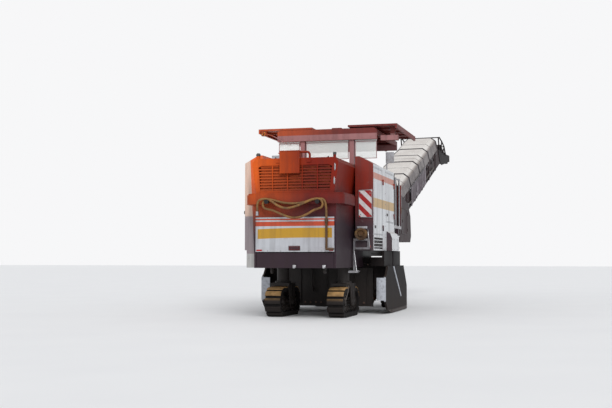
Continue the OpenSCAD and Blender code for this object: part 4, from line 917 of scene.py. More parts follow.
# %% Grille: hinges, and the dust screen behind the louvres
hinges = []
for z in (2.7, 2.97):
    y = -0.79 - (z - 2.47) * 0.05        # along the hood's leaning edge
    hinges.append(rod(st(-0.012, y, z - 0.07), st(-0.012, y, z + 0.07), 0.008, 16, 0.001))
    leaf = block(st(-0.008, y - 0.016, z - 0.05), st(0.0, y + 0.016, z + 0.05), 0.002)
    hinges.append(rounded(leaf, 0.001))
settle(joined(hinges), "grille_hinges", "chassis", bright)


def mesh_finish():
    """Dust screen behind the louvres: a weave of wire with dust stuck in patches, and painted orange flare
    at the left.
    """
    f = Finish("dust_screen")
    upright, level = (axis.wrapped(0.008).band(0.0015, 0.0065, 0.001) for axis in (f.y, f.z))
    wire = upright * level
    clogged = f.noise(3.2, 5, 0.7, stretch=(1, 1, 2.2)).step(0.52, 0.1)
    colour = f.mix(rgb(132, 50, 26), rgb(70, 24, 16), wire)
    colour = f.mix(colour, rgb(168, 74, 34), clogged * 0.8)
    # painted sun flare: orange glow towards the left
    colour = f.mix(colour, rgb(214, 96, 36), (f.y + clogged * 0.2).step(0.3, 1.2) * 0.8)
    return f.done(colour, 0.85, f.bump(wire, 0.002, 0.6))


screen = cube(st(0.046, -0.71, 2.5), st(0.052, 0.71, 3.02))
faces_where(screen, ends_on(0))
bpy.ops.mesh.subdivide(number_cuts=12)
closed()
rng = random.Random(4)
for v in screen.data.vertices:
    # the mesh sags forward between its edges
    if v.co.x < st(0.049).x and abs(v.co.y) < 0.7 and 2.51 < v.co.z < 3.01:
        v.co.x += rng.uniform(0.0, 0.018)
settle(screen, "dust_screen", "chassis", mesh_finish())

# %% On the hood's top: eyes, cap, marker lamp and the lip of the exhaust
parts = []
for x in (0.5, 1.9):
    for y in (-0.55, 0.55):
        parts.append(torus(st(x, y, 3.2), 0.032, 0.009, 20, rotation=(math.pi / 2, 0, 0)))
        parts.append(rod(st(x, y, 3.163), st(x, y, 3.176), 0.028, 20, 0.002))
settle(joined(parts), "hood_eyes", "chassis", steel)
cap = capped(st(0.06, 0.773, 3.222), st(0.06, 0.773, 3.262), 0.045, 24, 0.012, -0.018, 0.004)
settle(cap, "stub_cap", "chassis", black_plastic)
bezel(st(0.06, -0.793, 3.212), UP, 0.034, 0.05, amber_lens, "marker_lamp", "chassis")
lip = opened(cube(st(-0.074, -0.118, 3.292), st(0.0, 0.293, 3.304)), facing(UP), 0.01)
lip = applied(opened(lip, facing(DOWN)), "SOLIDIFY", thickness=0.003, offset=1)
settle(lip, "exhaust_lip", "chassis", dark_paint)

# %% [markdown]
# ## Cabinets, doors and the rear wall
#
# The cabinets are pressed sheet. A door reads as a door by its recessed handle, its seal line
# and its rows of small bolts; the bay under it shows louvres. Marker lamps, a reel of straps and
# a folding step sit at the rear corners.

# %% Door handles and seals
WALL = 1.277         # half the width over the cabinets' sheets
for name in ("door_left", "door_right", "gate_left", "gate_right"):
    side = SIDES[name.split("_")[1]]
    low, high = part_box(name)
    y, x, z = side * WALL, low[0], low[2] + 0.16
    dish = pressed((x + 0.072, y - 0.012, z - 0.028), (x + 0.168, y + 0.001, z + 0.028),
                   (0, side, 0), 0.008, 0.006, 0.003)
    grip_y = y - 0.008 * side
    grip = cube((x + 0.085, grip_y - 0.006, z - 0.012), (x + 0.155, grip_y + 0.006, z + 0.012))
    grip = rounded(tapered(grip, (0, side, 0), (0.8, 1, 0.6)), 0.003)
    settle(joined([dish, grip]), name + "_handle", name, black_plastic)
    seal = cube((x + 0.012, y - 0.003, low[2] + 0.012), (high[0] - 0.021, y + 0.003, high[2] - 0.012))
    settle(rounded(opened(seal, ends_on(1), 0.01), 0.001), name + "_seam", name, pale_paint)

# %% Louvres and boxes of the bay below the side doors
vents = []
for i in range(5):
    z = 1.44 + i * 0.042
    vane = cube(st(1.49, 1.238, z), st(2.33, 1.252, z + 0.018))
    vents.append(rounded(leaned(vane, LEFT, (0, 0.012, -0.016)), 0.002))
settle(mirrored(joined(vents)), "bay_louvres", "chassis", steel)
boxes = [pressed(st(x0, 1.19, 1.372), st(x1, 1.236, top), LEFT, 0.02, 0.008, 0.004)
         for x0, x1, top in ((1.52, 1.86, 1.56), (1.92, 2.3, 1.6))]
settle(mirrored(joined(boxes)), "bay_boxes", "chassis", pale_paint)

# %% Rows of small bolts along the sheet edges
for word, side in reversed(SIDES.items()):
    x_rear = 1.43 if side < 0 else 0.73
    y = side * (WALL + 0.001)
    spots = [spot for a, b, count in (((x_rear, 1.42), (x_rear, 3.08), 8), ((2.68, 1.42), (2.68, 3.08), 8),
                                      ((2.5, 1.4), (3.66, 1.4), 6))
             for spot in row(st(a[0], y, a[1]), st(b[0], y, b[1]), count)]
    hexes("wall_bolts_" + word, "chassis", spots, (0, side, 0), 0.009, 0.006, pale_paint)
for word, side in SIDES.items():
    spots = [st(x, side * 1.4005, z) for x in (2.84, 3.05, 3.4, 3.61) for z in (1.39, 1.61)]
    hexes("fairing_bolts_" + word, "chassis", spots, (0, side, 0), 0.009, 0.006)

# %% Warning board: frame and bolts
low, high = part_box("warning_board")
rim = cube((low[0] - 0.006, low[1] - 0.006, low[2] - 0.006),
           (low[0] + 0.002, high[1] + 0.006, high[2] + 0.006))
settle(rounded(opened(rim, ends_on(0), 0.012), 0.002), "board_frame", "chassis", bright)
spots = [st(1.3855, -1.111 + d, z) for d in (-0.1, 0.1) for z in (2.1, 2.54)]
hexes("board_bolts", "chassis", spots, BACK, 0.008, 0.005)

# %% Reel of straps below the board, and its hood
ROLL_Y, ROLL_Z = -1.035, 1.69


def strap_finish():
    """Sun-bleached straps wound on a reel, golden brown."""
    f = Finish("wound_strap")
    y, z = f.y - ROLL_Y, f.z - ROLL_Z
    turns = (y * y + z * z).root().wrapped(0.011).step(0.0055, 0.004)
    colour = f.mix(rgb(104, 70, 32), rgb(50, 32, 22), turns * 0.8)
    colour = f.mix(colour, rgb(150, 120, 66), f.noise(7, 4, 0.7).step(0.58, 0.16) * 0.6)
    # painted shade: the roll darker on its lower part
    colour = f.mix(colour, rgb(40, 26, 24), (1 - f.z.step(1.66, 0.1)) * 0.6)
    return f.done(colour, 0.7, f.bump(turns, 0.003, 0.7))


roll = round_bar(st(1.24, ROLL_Y, ROLL_Z), st(1.385, ROLL_Y, ROLL_Z), 0.125, 40)
sunk(roll, BACK, 0.05, 0.02)
faces_where(roll, lambda c, n: n.x < -0.9 and math.hypot(c.y - ROLL_Y, c.z - ROLL_Z) < 0.09)
bpy.ops.mesh.inset(thickness=0.03, depth=0)
bpy.ops.mesh.extrude_region_move(TRANSFORM_OT_translate={"value": (-0.03, 0, 0)})
closed()
settle(rounded(roll, 0.008, 3), "strap_roll", "chassis", strap_finish())
plate = tapered(cube(st(1.375, -1.15, 1.8), st(1.399, -0.92, 1.86)), BACK, (1, 0.8, 0.6))
settle(rounded(plate, 0.006), "roll_hood", "chassis", pale_paint)

# %% Marker lamps at the corners
bezel(st(1.4, -1.19, 1.44), BACK, 0.04, 0.03, red_lens, "tail_lamp_right", "chassis")
bezel(st(0.76, 1.276, 2.14), LEFT, 0.036, 0.03, red_lens, "tail_lamp_left", "chassis")

# %% [markdown]
# ## Folding step and handrail at the right rear
#
# A pale folding step with its rail hangs behind the right cabinet. Its treads are punched.

# %% Step, its rail and treads
tread = pressed(st(1.17, -1.0, 0.931), st(1.37, -0.79, 0.941), UP, 0.016, 0.004, 0.002)
parts = [tread]
for x in [1.2 + i * 0.14 / 3 for i in range(4)]:
    for y in [-0.97 + k * 0.05 for k in range(4)]:
        parts.append(sunk(round_bar(st(x, y, 0.937), st(x, y, 0.946), 0.011, 12), UP, 0.004, 0.004))
settle(joined(parts), "step_tread", "chassis", bright)
rail = [st(1.36, -1.2, 1.4), st(1.3, -1.22, 1.42), st(1.27, -1.2, 1.6), st(1.3, -1.18, 1.77),
        st(1.395, -1.17, 1.79)]
line("step_rail", [rail], 0.013, "chassis", bright)
stay = [st(1.355, -0.878, 1.36), st(1.33, -0.9, 1.2), st(1.29, -0.93, 1.05), st(1.25, -0.95, 0.94)]
line("step_stay", [stay], 0.012, "chassis", bright)

# %% [markdown]
# ## Platform
#
# Two consoles at its front each carry a lit screen, a joystick and rows of knobs, and a sprung
# seat stands behind each. Foam seats are crowned: they bulge where nothing holds them, and pull
# in at the piping.


# %% Consoles
def screen_finish():
    """A dark screen with rows of pale figures."""
    f = Finish("screen")
    bars = f.z.wrapped(0.03).band(0.006, 0.016, 0.002)
    return f.done(f.mix(rgb(20, 34, 42), rgb(92, 150, 150), bars * 0.6), 0.12)


screen_glass = screen_finish()
SLOPE = 0.435        # rise of the consoles' panels, forward
knobs, screens = [], []
for side in (-1, 1):
    y = side * 0.95
    panel = sunk(cube(st(4.36, y - 0.15, 2.98), st(4.6, y + 0.15, 3.0)), UP, 0.014, 0.004)
    tilted(panel, st(4.48, 0, 2.99), -23.5)
    panel.data.transform(Matrix.Translation((0, 0, -0.015)))
    knobs.append(rounded(panel, 0.003))
    for i in range(3):
        for k in range(4):
            foot = st(4.42 + i * 0.05, y - 0.1 + k * 0.055, 2.952 + i * 0.05 * SLOPE)
            button = round_bar(foot, foot + Vector((-0.008, 0, 0.022)), 0.012, 14)
            knobs.append(sunk(button, (-0.34, 0, 0.94), 0.004, 0.004))
    y = side * 0.84
    stick = round_bar(st(4.4, y, 2.93), st(4.385, y, 3.05), 0.012, 16)
    grip = round_bar(st(4.385, y, 3.04), st(4.372, y, 3.14), 0.022, 16)
    grip = rounded(tapered(grip, UP, (1.3, 1.3, 1), 0.8), 0.008, 3)
    y = side * 0.98
    knobs += [stick, grip, block(st(4.652, y - 0.13, 3.04), st(4.7, y + 0.13, 3.23), 0.008, 3)]
    screens.append(sunk(cube(st(4.636, y - 0.115, 3.055), st(4.653, y + 0.115, 3.215)), BACK, 0.012, 0.004))
settle(joined(knobs), "console_controls", "chassis", black_plastic)
settle(joined(screens), "console_screens", "chassis", screen_glass)


# %% Seats: crowned foam under woven cloth
def seat_cloth():
    """Dark seat cloth with a fine twill and rubbed, dusty ribs."""
    f = Finish("seat_cloth")
    twill = (f.x + f.y + f.z).wrapped(0.004).step(0.002, 0.001)
    cross = (f.x - f.y + f.z * 0.5).wrapped(0.004).step(0.002, 0.001)
    colour = f.mix(rgb(44, 40, 44), rgb(70, 64, 68), twill * cross)
    colour = f.mix(colour, DUST, f.noise(9).step(0.55, 0.3) * 0.35)
    return f.done(colour, 0.85, f.bump(twill + cross, 0.0006, 0.6), Sheen_Weight=0.3)


cloth = seat_cloth()


def cushion(name, low, high, crown):
    """A foam pad: a block with loops, its top crowned and its edges pulled in, then subdivided."""
    pad = cube(low, high)
    faces_where(pad, lambda c, n: True)
    bpy.ops.mesh.subdivide(number_cuts=9)
    closed()
    mid, half = (high + low) / 2, (high - low) / 2
    thin = min(range(3), key=lambda i: half[i])
    wide = [i for i in range(3) if i != thin]
    for v in pad.data.vertices:
        u = [(v.co[i] - mid[i]) / half[i] for i in range(3)]
        fall = (1 - u[wide[0]] ** 2) * (1 - u[wide[1]] ** 2)
        out = 1 if u[thin] > 0 else -1
        edge = max(abs(u[wide[0]]), abs(u[wide[1]]))
        seam = abs(abs(u[wide[0]]) - 0.55) < 0.08 and edge < 0.9
        v.co[thin] += out * (crown * (fall - 0.6) - 0.006 * seam)
        for i in wide:
            v.co[i] -= u[i] * 0.014 * (1 - abs(u[thin])) * (abs(u[i]) > 0.9)
            v.co[i] -= (1 if u[i] > 0 else -1) * 0.01 * (abs(u[wide[0]] * u[wide[1]]) > 0.75)
    applied(pad, "SUBSURF", levels=1, render_levels=1)
    settle(pad, name, "chassis", cloth, angle=60)
    return pad


FLOOR_TOP = 1.9503   # just clear of the platform's floor
SEAT_X, SEAT_Y = 3.35, 0.78          # where the seats' columns stand, either side of the middle
seat_parts = []
for word, side in SIDES.items():
    y = side * SEAT_Y
    cushion("seat_pad_" + word, st(3.13, y - 0.215, 2.4), st(3.59, y + 0.215, 2.49), 0.022)
    rest = cushion("seat_back_" + word, st(3.115, y - 0.2, 2.5), st(3.195, y + 0.2, 3.0), 0.02)
    tilted(rest, st(3.155, 0, 2.5), -8)
    pan = tapered(cube(st(3.16, y - 0.19, 2.372), st(3.56, y + 0.19, 2.404)), DOWN, (0.85, 0.85, 1))
    back = block(st(3.09, y - 0.18, 2.42), st(3.118, y + 0.18, 2.94), 0.01)
    foot = capped(st(SEAT_X, y, FLOOR_TOP), st(SEAT_X, y, 1.975), 0.15, 32, 0.02, 0.004, 0.004)
    column = round_bar(st(SEAT_X, y, 1.96), st(SEAT_X, y, 2.38), 0.055, 28)
    faces_where(column, facing(UP))
    bpy.ops.mesh.inset(thickness=0.014, depth=0)
    closed()
    seat_parts += [rounded(pan, 0.008), tilted(back, st(3.1, 0, 2.5), -8), foot, rounded(column, 0.004)]
    seat_parts += [torus(st(SEAT_X, y, 2.18 + k * 0.035), 0.07, 0.018) for k in range(5)]
pedestals = settle(joined(seat_parts), "seat_pedestals", "chassis", black_plastic)
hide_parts("seats")


# %% Chequer plate on the floor, the ladder's treads and the rails' feet
def chequer_finish():
    """Raised lozenges on a steel floor plate, polished by boots."""
    f = Finish("chequer_plate")
    rising, falling = (f.x + f.y).wrapped(0.05), (f.x - f.y).wrapped(0.05)
    across, along = (long.band(0.004, 0.046, 0.004) for long in (falling, rising))
    lozenge = (rising.band(0.018, 0.032, 0.003) * across).most(falling.band(0.018, 0.032, 0.003) * along)
    colour = f.mix(rgb(66, 58, 60), rgb(140, 136, 138), lozenge * 0.7)
    colour, dust = dusty(f, colour, 0.2, 0.4, 0.5)
    return f.done(colour, 0.5 + dust * 0.3, f.bump(lozenge, 0.003, 1.0), 0.4)


chequer = chequer_finish()
mat = sunk(cube(st(2.46, -1.2, FLOOR_TOP), st(4.85, 1.2, 1.954)), UP, 0.02, 0.001)
settle(mat, "floor_plate", "chassis", chequer)
treads = [pressed(st(3.8, 1.185, z), st(4.28, 1.29, z + 0.006), UP, 0.012, 0.003, 0.001)
          for z in (1.45, 1.72)]
settle(mirrored(joined(treads)), "ladder_treads", "chassis", chequer)
feet = [capped(st(x, 1.197, FLOOR_TOP), st(x, 1.197, 1.962), 0.045, 24, 0.012, -0.008, 0.002)
        for x in (3.79, 4.32, 4.78)]
settle(mirrored(joined(feet)), "rail_feet", "chassis", bright)

# %% [markdown]
# ## Track units
#
# Each unit is a steerable fork on its column with a chain of shoes round a motor sprocket and an
# idler. What tells a real one from a block are the bolts through every shoe, the chain's pin
# ends, the hubs, and the hoses that feed the motor. One unit is modelled and copied to the
# other three, because they are the same part.

# %% Bolts, pins and grousers, repeated round the chain
WHEEL_R, CHAIN = 0.206, 0.046        # radius of the wheels, and thickness of the chain
CHAIN_R = WHEEL_R + CHAIN / 2        # from a wheel's centre to the chain's middle
SHOES = 24
ROUND = 4 * WHEEL_C + 2 * math.pi * CHAIN_R
PITCH = ROUND / SHOES


def on_chain(way, out=0.0):
    """Place and outward angle on the chain, a distance round it and out from its middle."""
    way = way % ROUND
    for centre, start, turn in ((0, math.pi / 2, 0), (WHEEL_C, math.pi / 2, 1),
                                (0, -math.pi / 2, 0), (-WHEEL_C, -math.pi / 2, 1)):
        length = math.pi * CHAIN_R if turn else 2 * WHEEL_C
        if way <= length:
            break
        way -= length
    angle = start - way / CHAIN_R if turn else start
    along = 0 if turn else (way - WHEEL_C) * (1 if start > 0 else -1)
    reach = CHAIN_R + out
    return centre + along + reach * math.cos(angle), WHEEL_Z + reach * math.sin(angle), angle


def on_shoe(shoe, along=0.0, across=0.0):
    """A matrix that stands a fitting on a shoe, a little lower where the shoe is on the ground."""
    middle = (shoe + 0.5) * PITCH
    proud = 0.0 if on_chain(middle)[1] < 0.12 else 0.006
    x, z, angle = on_chain(middle + along, 0.065 + proud)
    return Matrix.Translation((x, across, z)) @ Matrix.Rotation(math.pi / 2 - angle, 4, "Y")


bolt = rod((0, 0, -0.004), (0, 0, 0.006), 0.012, 6, 0.0015, 1)
shoe_bolts = copied(bolt, [on_shoe(i, d, y) for i in range(SHOES) for d in (-0.02, 0.02)
                           for y in (-0.125, 0.125)])
pin = rod((0, 0, 0), (0, 0.338, 0), 0.013, 10, 0.003, 1)
pin_spots = [on_chain((i + 0.02) * PITCH)[:2] for i in range(SHOES)]
pins = copied(pin, [Matrix.Translation((x, -0.169, z)) for x, z in pin_spots])
grouser = cube((-0.03, -0.15, -0.006), (0.03, 0.15, 0.002))
faces_where(grouser, facing(UP))
bpy.ops.mesh.inset(thickness=0.012, depth=0)
bpy.ops.transform.translate(value=(0, 0, 0.004))
closed()
grousers = copied(grouser, [on_shoe(i) for i in range(SHOES)])
chain_set = joined([shoe_bolts, pins, grousers])

# %% Hubs, roller caps, bearing plates, ribs and collar of the fork
parts = []
for side in (-1, 1):
    for x in (-WHEEL_C, WHEEL_C):
        parts.append(capped((x, side * 0.09, WHEEL_Z), (x, side * 0.128, WHEEL_Z), 0.15, 32,
                            0.045, 0.014, 0.004))
        parts.append(capped((x, side * 0.11, WHEEL_Z), (x, side * 0.15, WHEEL_Z), 0.062, 28,
                            0.016, -0.008, 0.004))
        for u, w in circle(0.127, 10):
            parts.append(round_bar((x + u, side * 0.125, WHEEL_Z + w),
                                   (x + u, side * 0.138, WHEEL_Z + w), 0.01, 6))
    for x in [i * 0.165 for i in range(-2, 3)]:
        parts.append(capped((x, side * 0.098, 0.1545), (x, side * 0.116, 0.1545), 0.034, 20,
                            0.01, 0.005, 0.003))
    parts.append(capped((0, side * 0.2, WHEEL_Z), (0, side * 0.2125, WHEEL_Z), 0.07, 32,
                        0.03, -0.006, 0.003))
    for u, w in circle(0.056, 8, 0.5):
        parts.append(round_bar((u, side * 0.205, WHEEL_Z + w), (u, side * 0.2165, WHEEL_Z + w), 0.007, 6))
    for x in (-0.13, 0.13):
        y = side * 0.2065
        rib = cube((x - 0.008, y - 0.009, 0.36), (x + 0.008, y + 0.009, 0.66))
        parts.append(rounded(leaned(rib, DOWN, (-x * 0.45, 0, 0)), 0.002, 1))
parts.append(capped((0, 0, 0.68), (0, 0, 0.715), 0.165, 40, 0.028, -0.006, 0.004))
parts += [round_bar((u, w, 0.712), (u, w, 0.73), 0.011, 6) for u, w in circle(0.15, 12)]
# motor behind the sprocket, and the tensioner's cylinder on the roller frame
parts.append(rod((-WHEEL_C, 0.0, WHEEL_Z), (-WHEEL_C, 0.158, WHEEL_Z), 0.05, 24, 0.004))
parts.append(capped((0.1, 0, 0.395), (0.36, 0, 0.395), 0.026, 20, 0.01, -0.05, 0.003))
fork_set = joined(parts)

# %% Four sets, one on each unit, and the hoses of their motors
# behind the column, out from its middle, share of the hoses' spacing, and height
MOTOR_HOSE = ((0.12, 0.125, 1, 0.68), (0.2, 0.14, 1, 0.66), (0.3, 0.15, 1, 0.56),
              (0.36, 0.14, 1, 0.44), (WHEEL_C - 0.01, 0.13, 0.6, 0.345))
for word, (x, y) in UNITS.items():
    body, place = "unit_" + word, Matrix.Translation(st(x, y, 0))
    track_look = nodes[track_of(word)].material_slots[0].material
    settle(twin(chain_set, place), "chain_fittings_" + word, body, track_look)
    settle(twin(fork_set, place), "fork_fittings_" + word, body, steel)
    side = math.copysign(1, y)
    hoses = [[st(x - back, y + side * out + d * share, z) for back, out, share, z in MOTOR_HOSE]
             for d in (-0.02, 0.02)]
    line("motor_hoses_" + word, hoses, 0.012, body, black_plastic)
for thing in (chain_set, fork_set):
    bpy.data.objects.remove(thing)
print("track units dressed")

# %% [markdown]
# ## Canopy
#
# The canopy lifts on two posts, so its pieces ride on it: bolts along the beams, rubber rims round
# the panes, work lamps, and a cluster of small lamps with a folding lever on the left extension.

# %% Bolts, pane rims and lamps of the canopy
for name, x, way in (("beam_bolts_rear", 2.4695, BACK), ("beam_bolts_front", 4.9205, AHEAD)):
    spots = [st(x, y, 3.85) for y in (-1.0, -0.8, -0.4, -0.15, 0.15, 0.4, 0.8, 1.0)]
    hexes(name, "canopy", spots, way, 0.011, 0.006, brown_paint)
rims = []
for y0, y1 in ((-1.12, -0.634), (-0.486, 0.486), (0.634, 1.12)):
    rim = opened(cube(st(2.537, y0, 3.38), st(2.551, y1, 3.765)), ends_on(0), 0.012)
    rims.append(applied(rim, "SOLIDIFY", thickness=0.003))
settle(joined(rims), "pane_rims", "canopy", brown_paint)
for word, side in reversed(SIDES.items()):
    bezel(st(4.92, side * 0.85, 3.845), AHEAD, 0.055, 0.05, clear_lens, "front_lamp_" + word, "canopy")
for k, (y, z) in enumerate(((1.435, 4.02), (1.49, 3.985), (1.435, 3.965))):
    bezel(st(2.48, y, z), BACK, 0.026, 0.028, amber_lens, "cluster_lamp_%d" % (k + 1), "extension_left")
lever = [st(2.452, 1.42, 3.985), st(2.45, 1.3, 3.98), st(2.449, 1.16, 3.9), st(2.449, 1.02, 3.81)]
line("canopy_lever", [lever], 0.009, "extension_left", brown_paint)
lug = block(st(2.441, 1.4, 3.968), st(2.482, 1.432, 4.002), 0.004)
knob = rod(st(2.449, 1.035, 3.815), st(2.449, 0.985, 3.785), 0.016, 16, 0.006, 3)
settle(joined([lug, knob]), "lever_ends", "extension_left", brown_paint)

# %% [markdown]
# ## Discharge conveyor
#
# The conveyor hangs turned and tilted, so its pieces are made straight along the slewing axis and
# then turned together: flanged idler bearings, cover catches, the belt's raised chevrons, hoses to
# the head drum, and the rings and pipes of the lifting cylinders.

# %% The slewed frame
SLEW = Matrix.Translation((SLEW_X, 0, 0)) @ Matrix.Rotation(SLEW_TURN, 4, "Z")
RISE, LOW, DEEP = 0.41421, 1.8, 0.56     # slope, height at the slewing axis, and depth
TILT = Matrix.Rotation(-math.atan(RISE), 4, "Y")


def low_at(s):
    """Height of the conveyor's lower edge at a distance from the slewing axis."""
    return LOW + RISE * s


def tilted_at(s, up):
    """A matrix that puts a piece at a distance along the conveyor, tilted with it."""
    return Matrix.Translation((s, 0, low_at(s) + up)) @ TILT


def slewed(thing):
    """Turns a piece made along the slewing axis to where the conveyor points."""
    thing.data.transform(SLEW)
    return thing


def fitted(parts, places, name, finish):
    """Copies parts along the conveyor and settles them as one piece that rides on it."""
    return settle(slewed(copied(joined(parts), places)), name, "conveyor", finish)


# %% Idler bearings, cover catches and the belt's chevrons
FLANK = 0.58         # half the width over the conveyor's frame
parts = []
for side in (-1, 1):
    out, y = (0, side, 0), side * (FLANK + 0.008)
    parts.append(pressed((-0.045, y - 0.008, -0.045), (0.045, y + 0.008, 0.045), out, 0.008, -0.004, 0.003))
    parts.append(capped((0, side * (FLANK + 0.01), 0), (0, side * (FLANK + 0.026), 0), 0.028, 18,
                        0.008, 0.006, 0.002))
idlers = [0.475 + 0.3 * i for i in range(17)]
# none on the uprights of the conveyor's sides
places = [tilted_at(s, up) for s in idlers if (s - 0.7) % 0.9 > 0.12 for up in (0.1, 0.43)]
fitted(parts, places, "idler_bearings", steel)
parts = []
for side in (-1, 1):
    y = side * (FLANK + 0.009)
    strap = block((-0.014, y - 0.004, -0.06), (0.014, y + 0.004, 0.05), 0.002)
    y = side * (FLANK + 0.014)
    hook = rod((-0.02, y, 0.05), (0.02, y, 0.05), 0.008, 12, 0.002)
    y = side * (FLANK + 0.018)
    lever = leaned(cube((-0.01, y - 0.004, -0.05), (0.01, y + 0.004, 0.03)), DOWN, (0, side * 0.008, 0))
    parts += [strap, hook, rounded(lever, 0.002)]
places = [tilted_at(s, DEEP - 0.03) for s in (1.25, 1.9, 2.3, 3.0, 3.45, 4.2, 4.7, 5.3)]
fitted(parts, places, "cover_catches", bright)
parts = []
for side in (-1, 1):
    arm = tapered(cube((-0.012, -0.24, 0.0), (0.012, 0.24, 0.014)), UP, (0.4, 0.97, 1))
    arm.data.transform(Matrix.Translation((0, side * 0.21, 0)) @ Matrix.Rotation(side * 0.5, 4, "Z"))
    parts.append(arm)
TOP_RUN = 0.13 / math.cos(math.atan(RISE)) + 0.3     # the belt's upper run above the lower edge
places = [tilted_at(0.15 + 0.3 * i, TOP_RUN - 0.002) for i in range(19)]
fitted(parts, places, "belt_chevrons", belt_rubber)

# %% Hoses and clamps along the right side
CLAMP_FROM, CLAMP_GAP = 0.73, 0.9
runs = [[], []]
for k, run in enumerate(runs):
    for s in [0.33 + 0.1 * i for i in range(47)]:
        sag = 0.03 * math.sin(math.pi * ((s - CLAMP_FROM) / CLAMP_GAP % 1))
        run.append(SLEW @ Vector((s, -0.617 - 0.004 * k, low_at(s) + 0.2 + 0.035 * k - sag)))
line("conveyor_hoses", runs, 0.011, "conveyor", black_plastic, sides=3)
clamp = pressed((-0.018, -0.636, -0.03), (0.018, -0.6, 0.075), RIGHT, 0.008, -0.004, 0.003)
places = [tilted_at(CLAMP_FROM + CLAMP_GAP * i, 0.19) for i in range(5)]
fitted([clamp], places, "hose_clamps", bright)

# %% [markdown]
# A dust curtain hangs in folds from a rod along the right side. Cloth that is gathered on a rod
# falls in waves that grow towards its free edge, so the sheet is a grid whose points are moved by a
# sum of sines.

# %% Curtain on the right side, its rod and clips
CURTAIN_FROM, CURTAIN_TO, CURTAIN_DROP = 1.95, 3.72, 0.5
bpy.ops.object.select_all(action="DESELECT")
bpy.ops.mesh.primitive_grid_add(x_subdivisions=150, y_subdivisions=18, size=1)
curtain = bpy.context.object
for v in curtain.data.vertices:
    u, w = v.co.x + 0.5, 0.5 - v.co.y
    s = CURTAIN_FROM + (CURTAIN_TO - CURTAIN_FROM) * u
    wave = math.sin(u * 118) * 0.6 + math.sin(u * 61 + 1.3) * 0.4
    fall = CURTAIN_DROP * (1 + 0.05 * math.sin(u * 23) + 0.03 * math.sin(u * 71))
    v.co = (s + 0.01 * w * math.sin(u * 40), -0.628 + wave * (0.006 + 0.008 * w),
            low_at(s) + DEEP + 0.02 - w * fall)
faces_where(slewed(curtain), lambda c, n: True)
bpy.ops.mesh.normals_make_consistent(inside=False)
closed()
applied(curtain, "SOLIDIFY", thickness=0.003)


def curtain_cloth():
    """Coated grey cloth, worn pale on its folds and stained towards the hem."""
    f = Finish("dust_curtain")
    weave = (f.x + f.z).wrapped(0.005).step(0.0025, 0.0015)
    colour = f.mix(rgb(66, 54, 62), rgb(98, 86, 96), f.noise(5, stretch=(3, 3, 0.4)).step(0.5, 0.3))
    ridge = f.noise(9, 3, 0.6, stretch=(3, 3, 0.12), shift=(1, 6, 2)).step(0.6, 0.12)
    colour = f.mix(colour, rgb(176, 168, 174), ridge * 0.7)
    colour = f.mix(colour, GRIME, f.noise(3, shift=(2, 2, 5)).step(0.55, 0.3) * 0.6)
    return f.done(colour, 0.8, f.bump(weave, 0.0005, 0.5), Sheen_Weight=0.2)


settle(curtain, "dust_curtain", "conveyor", curtain_cloth(), 60)
rod_path = [SLEW @ Vector((s, -0.612, low_at(s) + DEEP + 0.024))
            for s in (CURTAIN_FROM - 0.06, 2.8, CURTAIN_TO + 0.06)]
line("curtain_rod", [rod_path], 0.007, "conveyor", bright)
clip = block((-0.012, -0.622, 0.006), (0.012, -0.578, 0.034), 0.003)
places = [Matrix.Translation((s, 0, low_at(s) + DEEP + 0.002)) for s in (1.92, 2.5, 3.1, 3.74)]
fitted([clip], places, "curtain_clips", bright)

# %% Lifting cylinders: glands, ports, pipes and rod eyes
FOOT, EYE = Vector((0.52, 0, 1.52)), Vector((2.35, 0, low_at(2.35) - 0.06))
stroke = (EYE - FOOT).normalized()
over = Vector((-stroke.z, 0, stroke.x))
PIPE = ((0.16, 0.08), (0.17, 0.1), (0.25, 0.098), (0.7, 0.092), (1.2, 0.098), (1.27, 0.1), (1.28, 0.08))
glands, pipes, eyes = [], [], []
for off in (Vector((0, -0.33, 0)), Vector((0, 0.33, 0))):
    foot, eye = FOOT + off, EYE + off
    glands.append(capped(foot + stroke * 1.35, foot + stroke * 1.412, 0.067, 32, 0.02, 0.008, 0.003))
    for at in (0.16, 1.28):
        port = foot + stroke * at
        glands.append(rod(port + over * 0.05, port + over * 0.088, 0.019, 6, 0.003))
    pipes.append([SLEW @ (foot + stroke * at + over * up) for at, up in PIPE])
    for out in (Vector(RIGHT), Vector(LEFT)):
        eyes.append(capped(eye + out * 0.052, eye + out * 0.066, 0.04, 24, 0.01, 0.004, 0.003))
settle(slewed(joined(glands)), "cylinder_glands", "lift_barrels", steel)
line("cylinder_pipes", pipes, 0.008, "lift_barrels", steel)
settle(slewed(joined(eyes)), "eye_pins", "conveyor", bright)

# %% Turntable: an arc of bolts, and hinge caps
arc = [math.radians(-60 + 30 * i) for i in range(5)]
ring = [SLEW @ Vector((0.28 * math.cos(a), 0.28 * math.sin(a), 1.571)) for a in arc]
hexes("turntable_bolts", "turntable", ring, UP, 0.016, 0.013, steel)
z = low_at(0.06) + 0.16
caps = [capped((0.06, side * 0.638, z), (0.06, side * 0.65, z), 0.075, 36, 0.02, 0.004, 0.003)
        for side in (-1, 1)]
settle(slewed(joined(caps)), "hinge_caps", "turntable", steel)

# %% [markdown]
# ## Frame, tanks and milling housing
#
# Heavy plate shows its bolts: rows along the rails, on the housing's rear wall and along the
# scraper's wearing edge. The tanks have round filler caps and service doors with hinges.

# %% Rail bolts and pipes
for word, side in SIDES.items():
    spots = [st(x, side * 0.6105, z) for z in (1.3, 1.55)
             for x in [4.35 + 0.12 * i for i in range(9)] + [6.1 + 0.12 * i for i in range(6)]]
    hexes("rail_bolts_" + word, "chassis", spots, (0, side, 0), 0.013, 0.01, steel)
pipes = [[st(x, y, 1.385 + 0.03 * k) for x in (4.25, 4.5, 5.0, 5.4)] for y in (-0.622, 0.622)
         for k in range(3)]
line("rail_pipes", pipes, 0.009, "chassis", steel, sides=3)

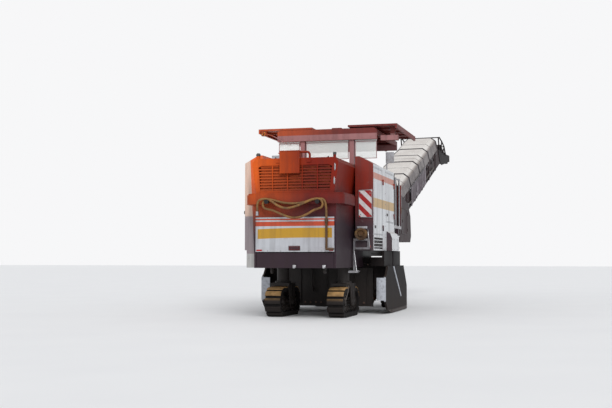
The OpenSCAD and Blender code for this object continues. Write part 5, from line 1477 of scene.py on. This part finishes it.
# %% Tank caps, doors and lamps
cap = capped(st(5.3, 1.0, 2.67), st(5.3, 1.0, 2.735), 0.075, 32, 0.02, 0.01, 0.004)
grip = block(st(5.25, 0.992, 2.72), st(5.35, 1.008, 2.748), 0.004)
settle(mirrored(joined([cap, grip])), "tank_caps", "chassis", black_plastic)
parts = [pressed(st(5.1, 1.192, 1.78), st(5.9, 1.204, 2.42), LEFT, 0.03, 0.004, 0.004)]
for z in (1.9, 2.3):
    parts.append(rod(st(5.915, 1.204, z - 0.04), st(5.915, 1.204, z + 0.04), 0.01, 14, 0.002))
parts.append(pressed(st(5.14, 1.196, 2.06), st(5.22, 1.208, 2.14), LEFT, 0.01, 0.006, 0.002))
settle(mirrored(joined(parts)), "tank_doors", "chassis", shade_dark_paint)
for word, side in reversed(SIDES.items()):
    bezel(st(6.425, side * 0.95, 2.05), AHEAD, 0.06, 0.05, clear_lens, "road_lamp_" + word, "chassis")

# %% Housing wall bolts, spray bar and the scraper's wearing bolts
wall = [st(2.6, y, z) for z in (0.96, 1.17) for y in [-0.96 + 0.24 * i for i in range(9)]]
hexes("housing_bolts", "chassis", wall, BACK, 0.013, 0.009, steel)
# none on the scraper's ribs
wearing = [y for y in [-0.84 + 0.12 * i for i in range(15)] if abs(y) > 0.03 and abs(abs(y) - 0.6) > 0.03]
hexes("wearing_bolts", "scraper", [st(2.4535, y, 0.235) for y in wearing], BACK, 0.014, 0.009, worn)
bar = [st(2.595, y, 1.08) for y in (-0.98, -0.5, 0.0, 0.5, 0.98)]
line("spray_bar", [bar], 0.014, "chassis", steel)
nozzles = []
for y in [-0.9 + 0.15 * i for i in range(13)]:
    nozzle = sunk(round_bar(st(2.593, y, 1.045), st(2.593, y, 1.075), 0.011, 12), DOWN, 0.003, -0.006)
    nozzles.append(rounded(nozzle, 0.002))
settle(joined(nozzles), "spray_nozzles", "chassis", worn)

# %% Bolts of the hood's roof
roof = [st(x, y, 3.1635) for y in (-0.62, 0.62) for x in (0.2, 0.8, 1.1, 1.5, 2.2)]
hexes("roof_bolts", "chassis", roof, UP, 0.01, 0.006, hood_paint)
print("frame, tanks and housing dressed")
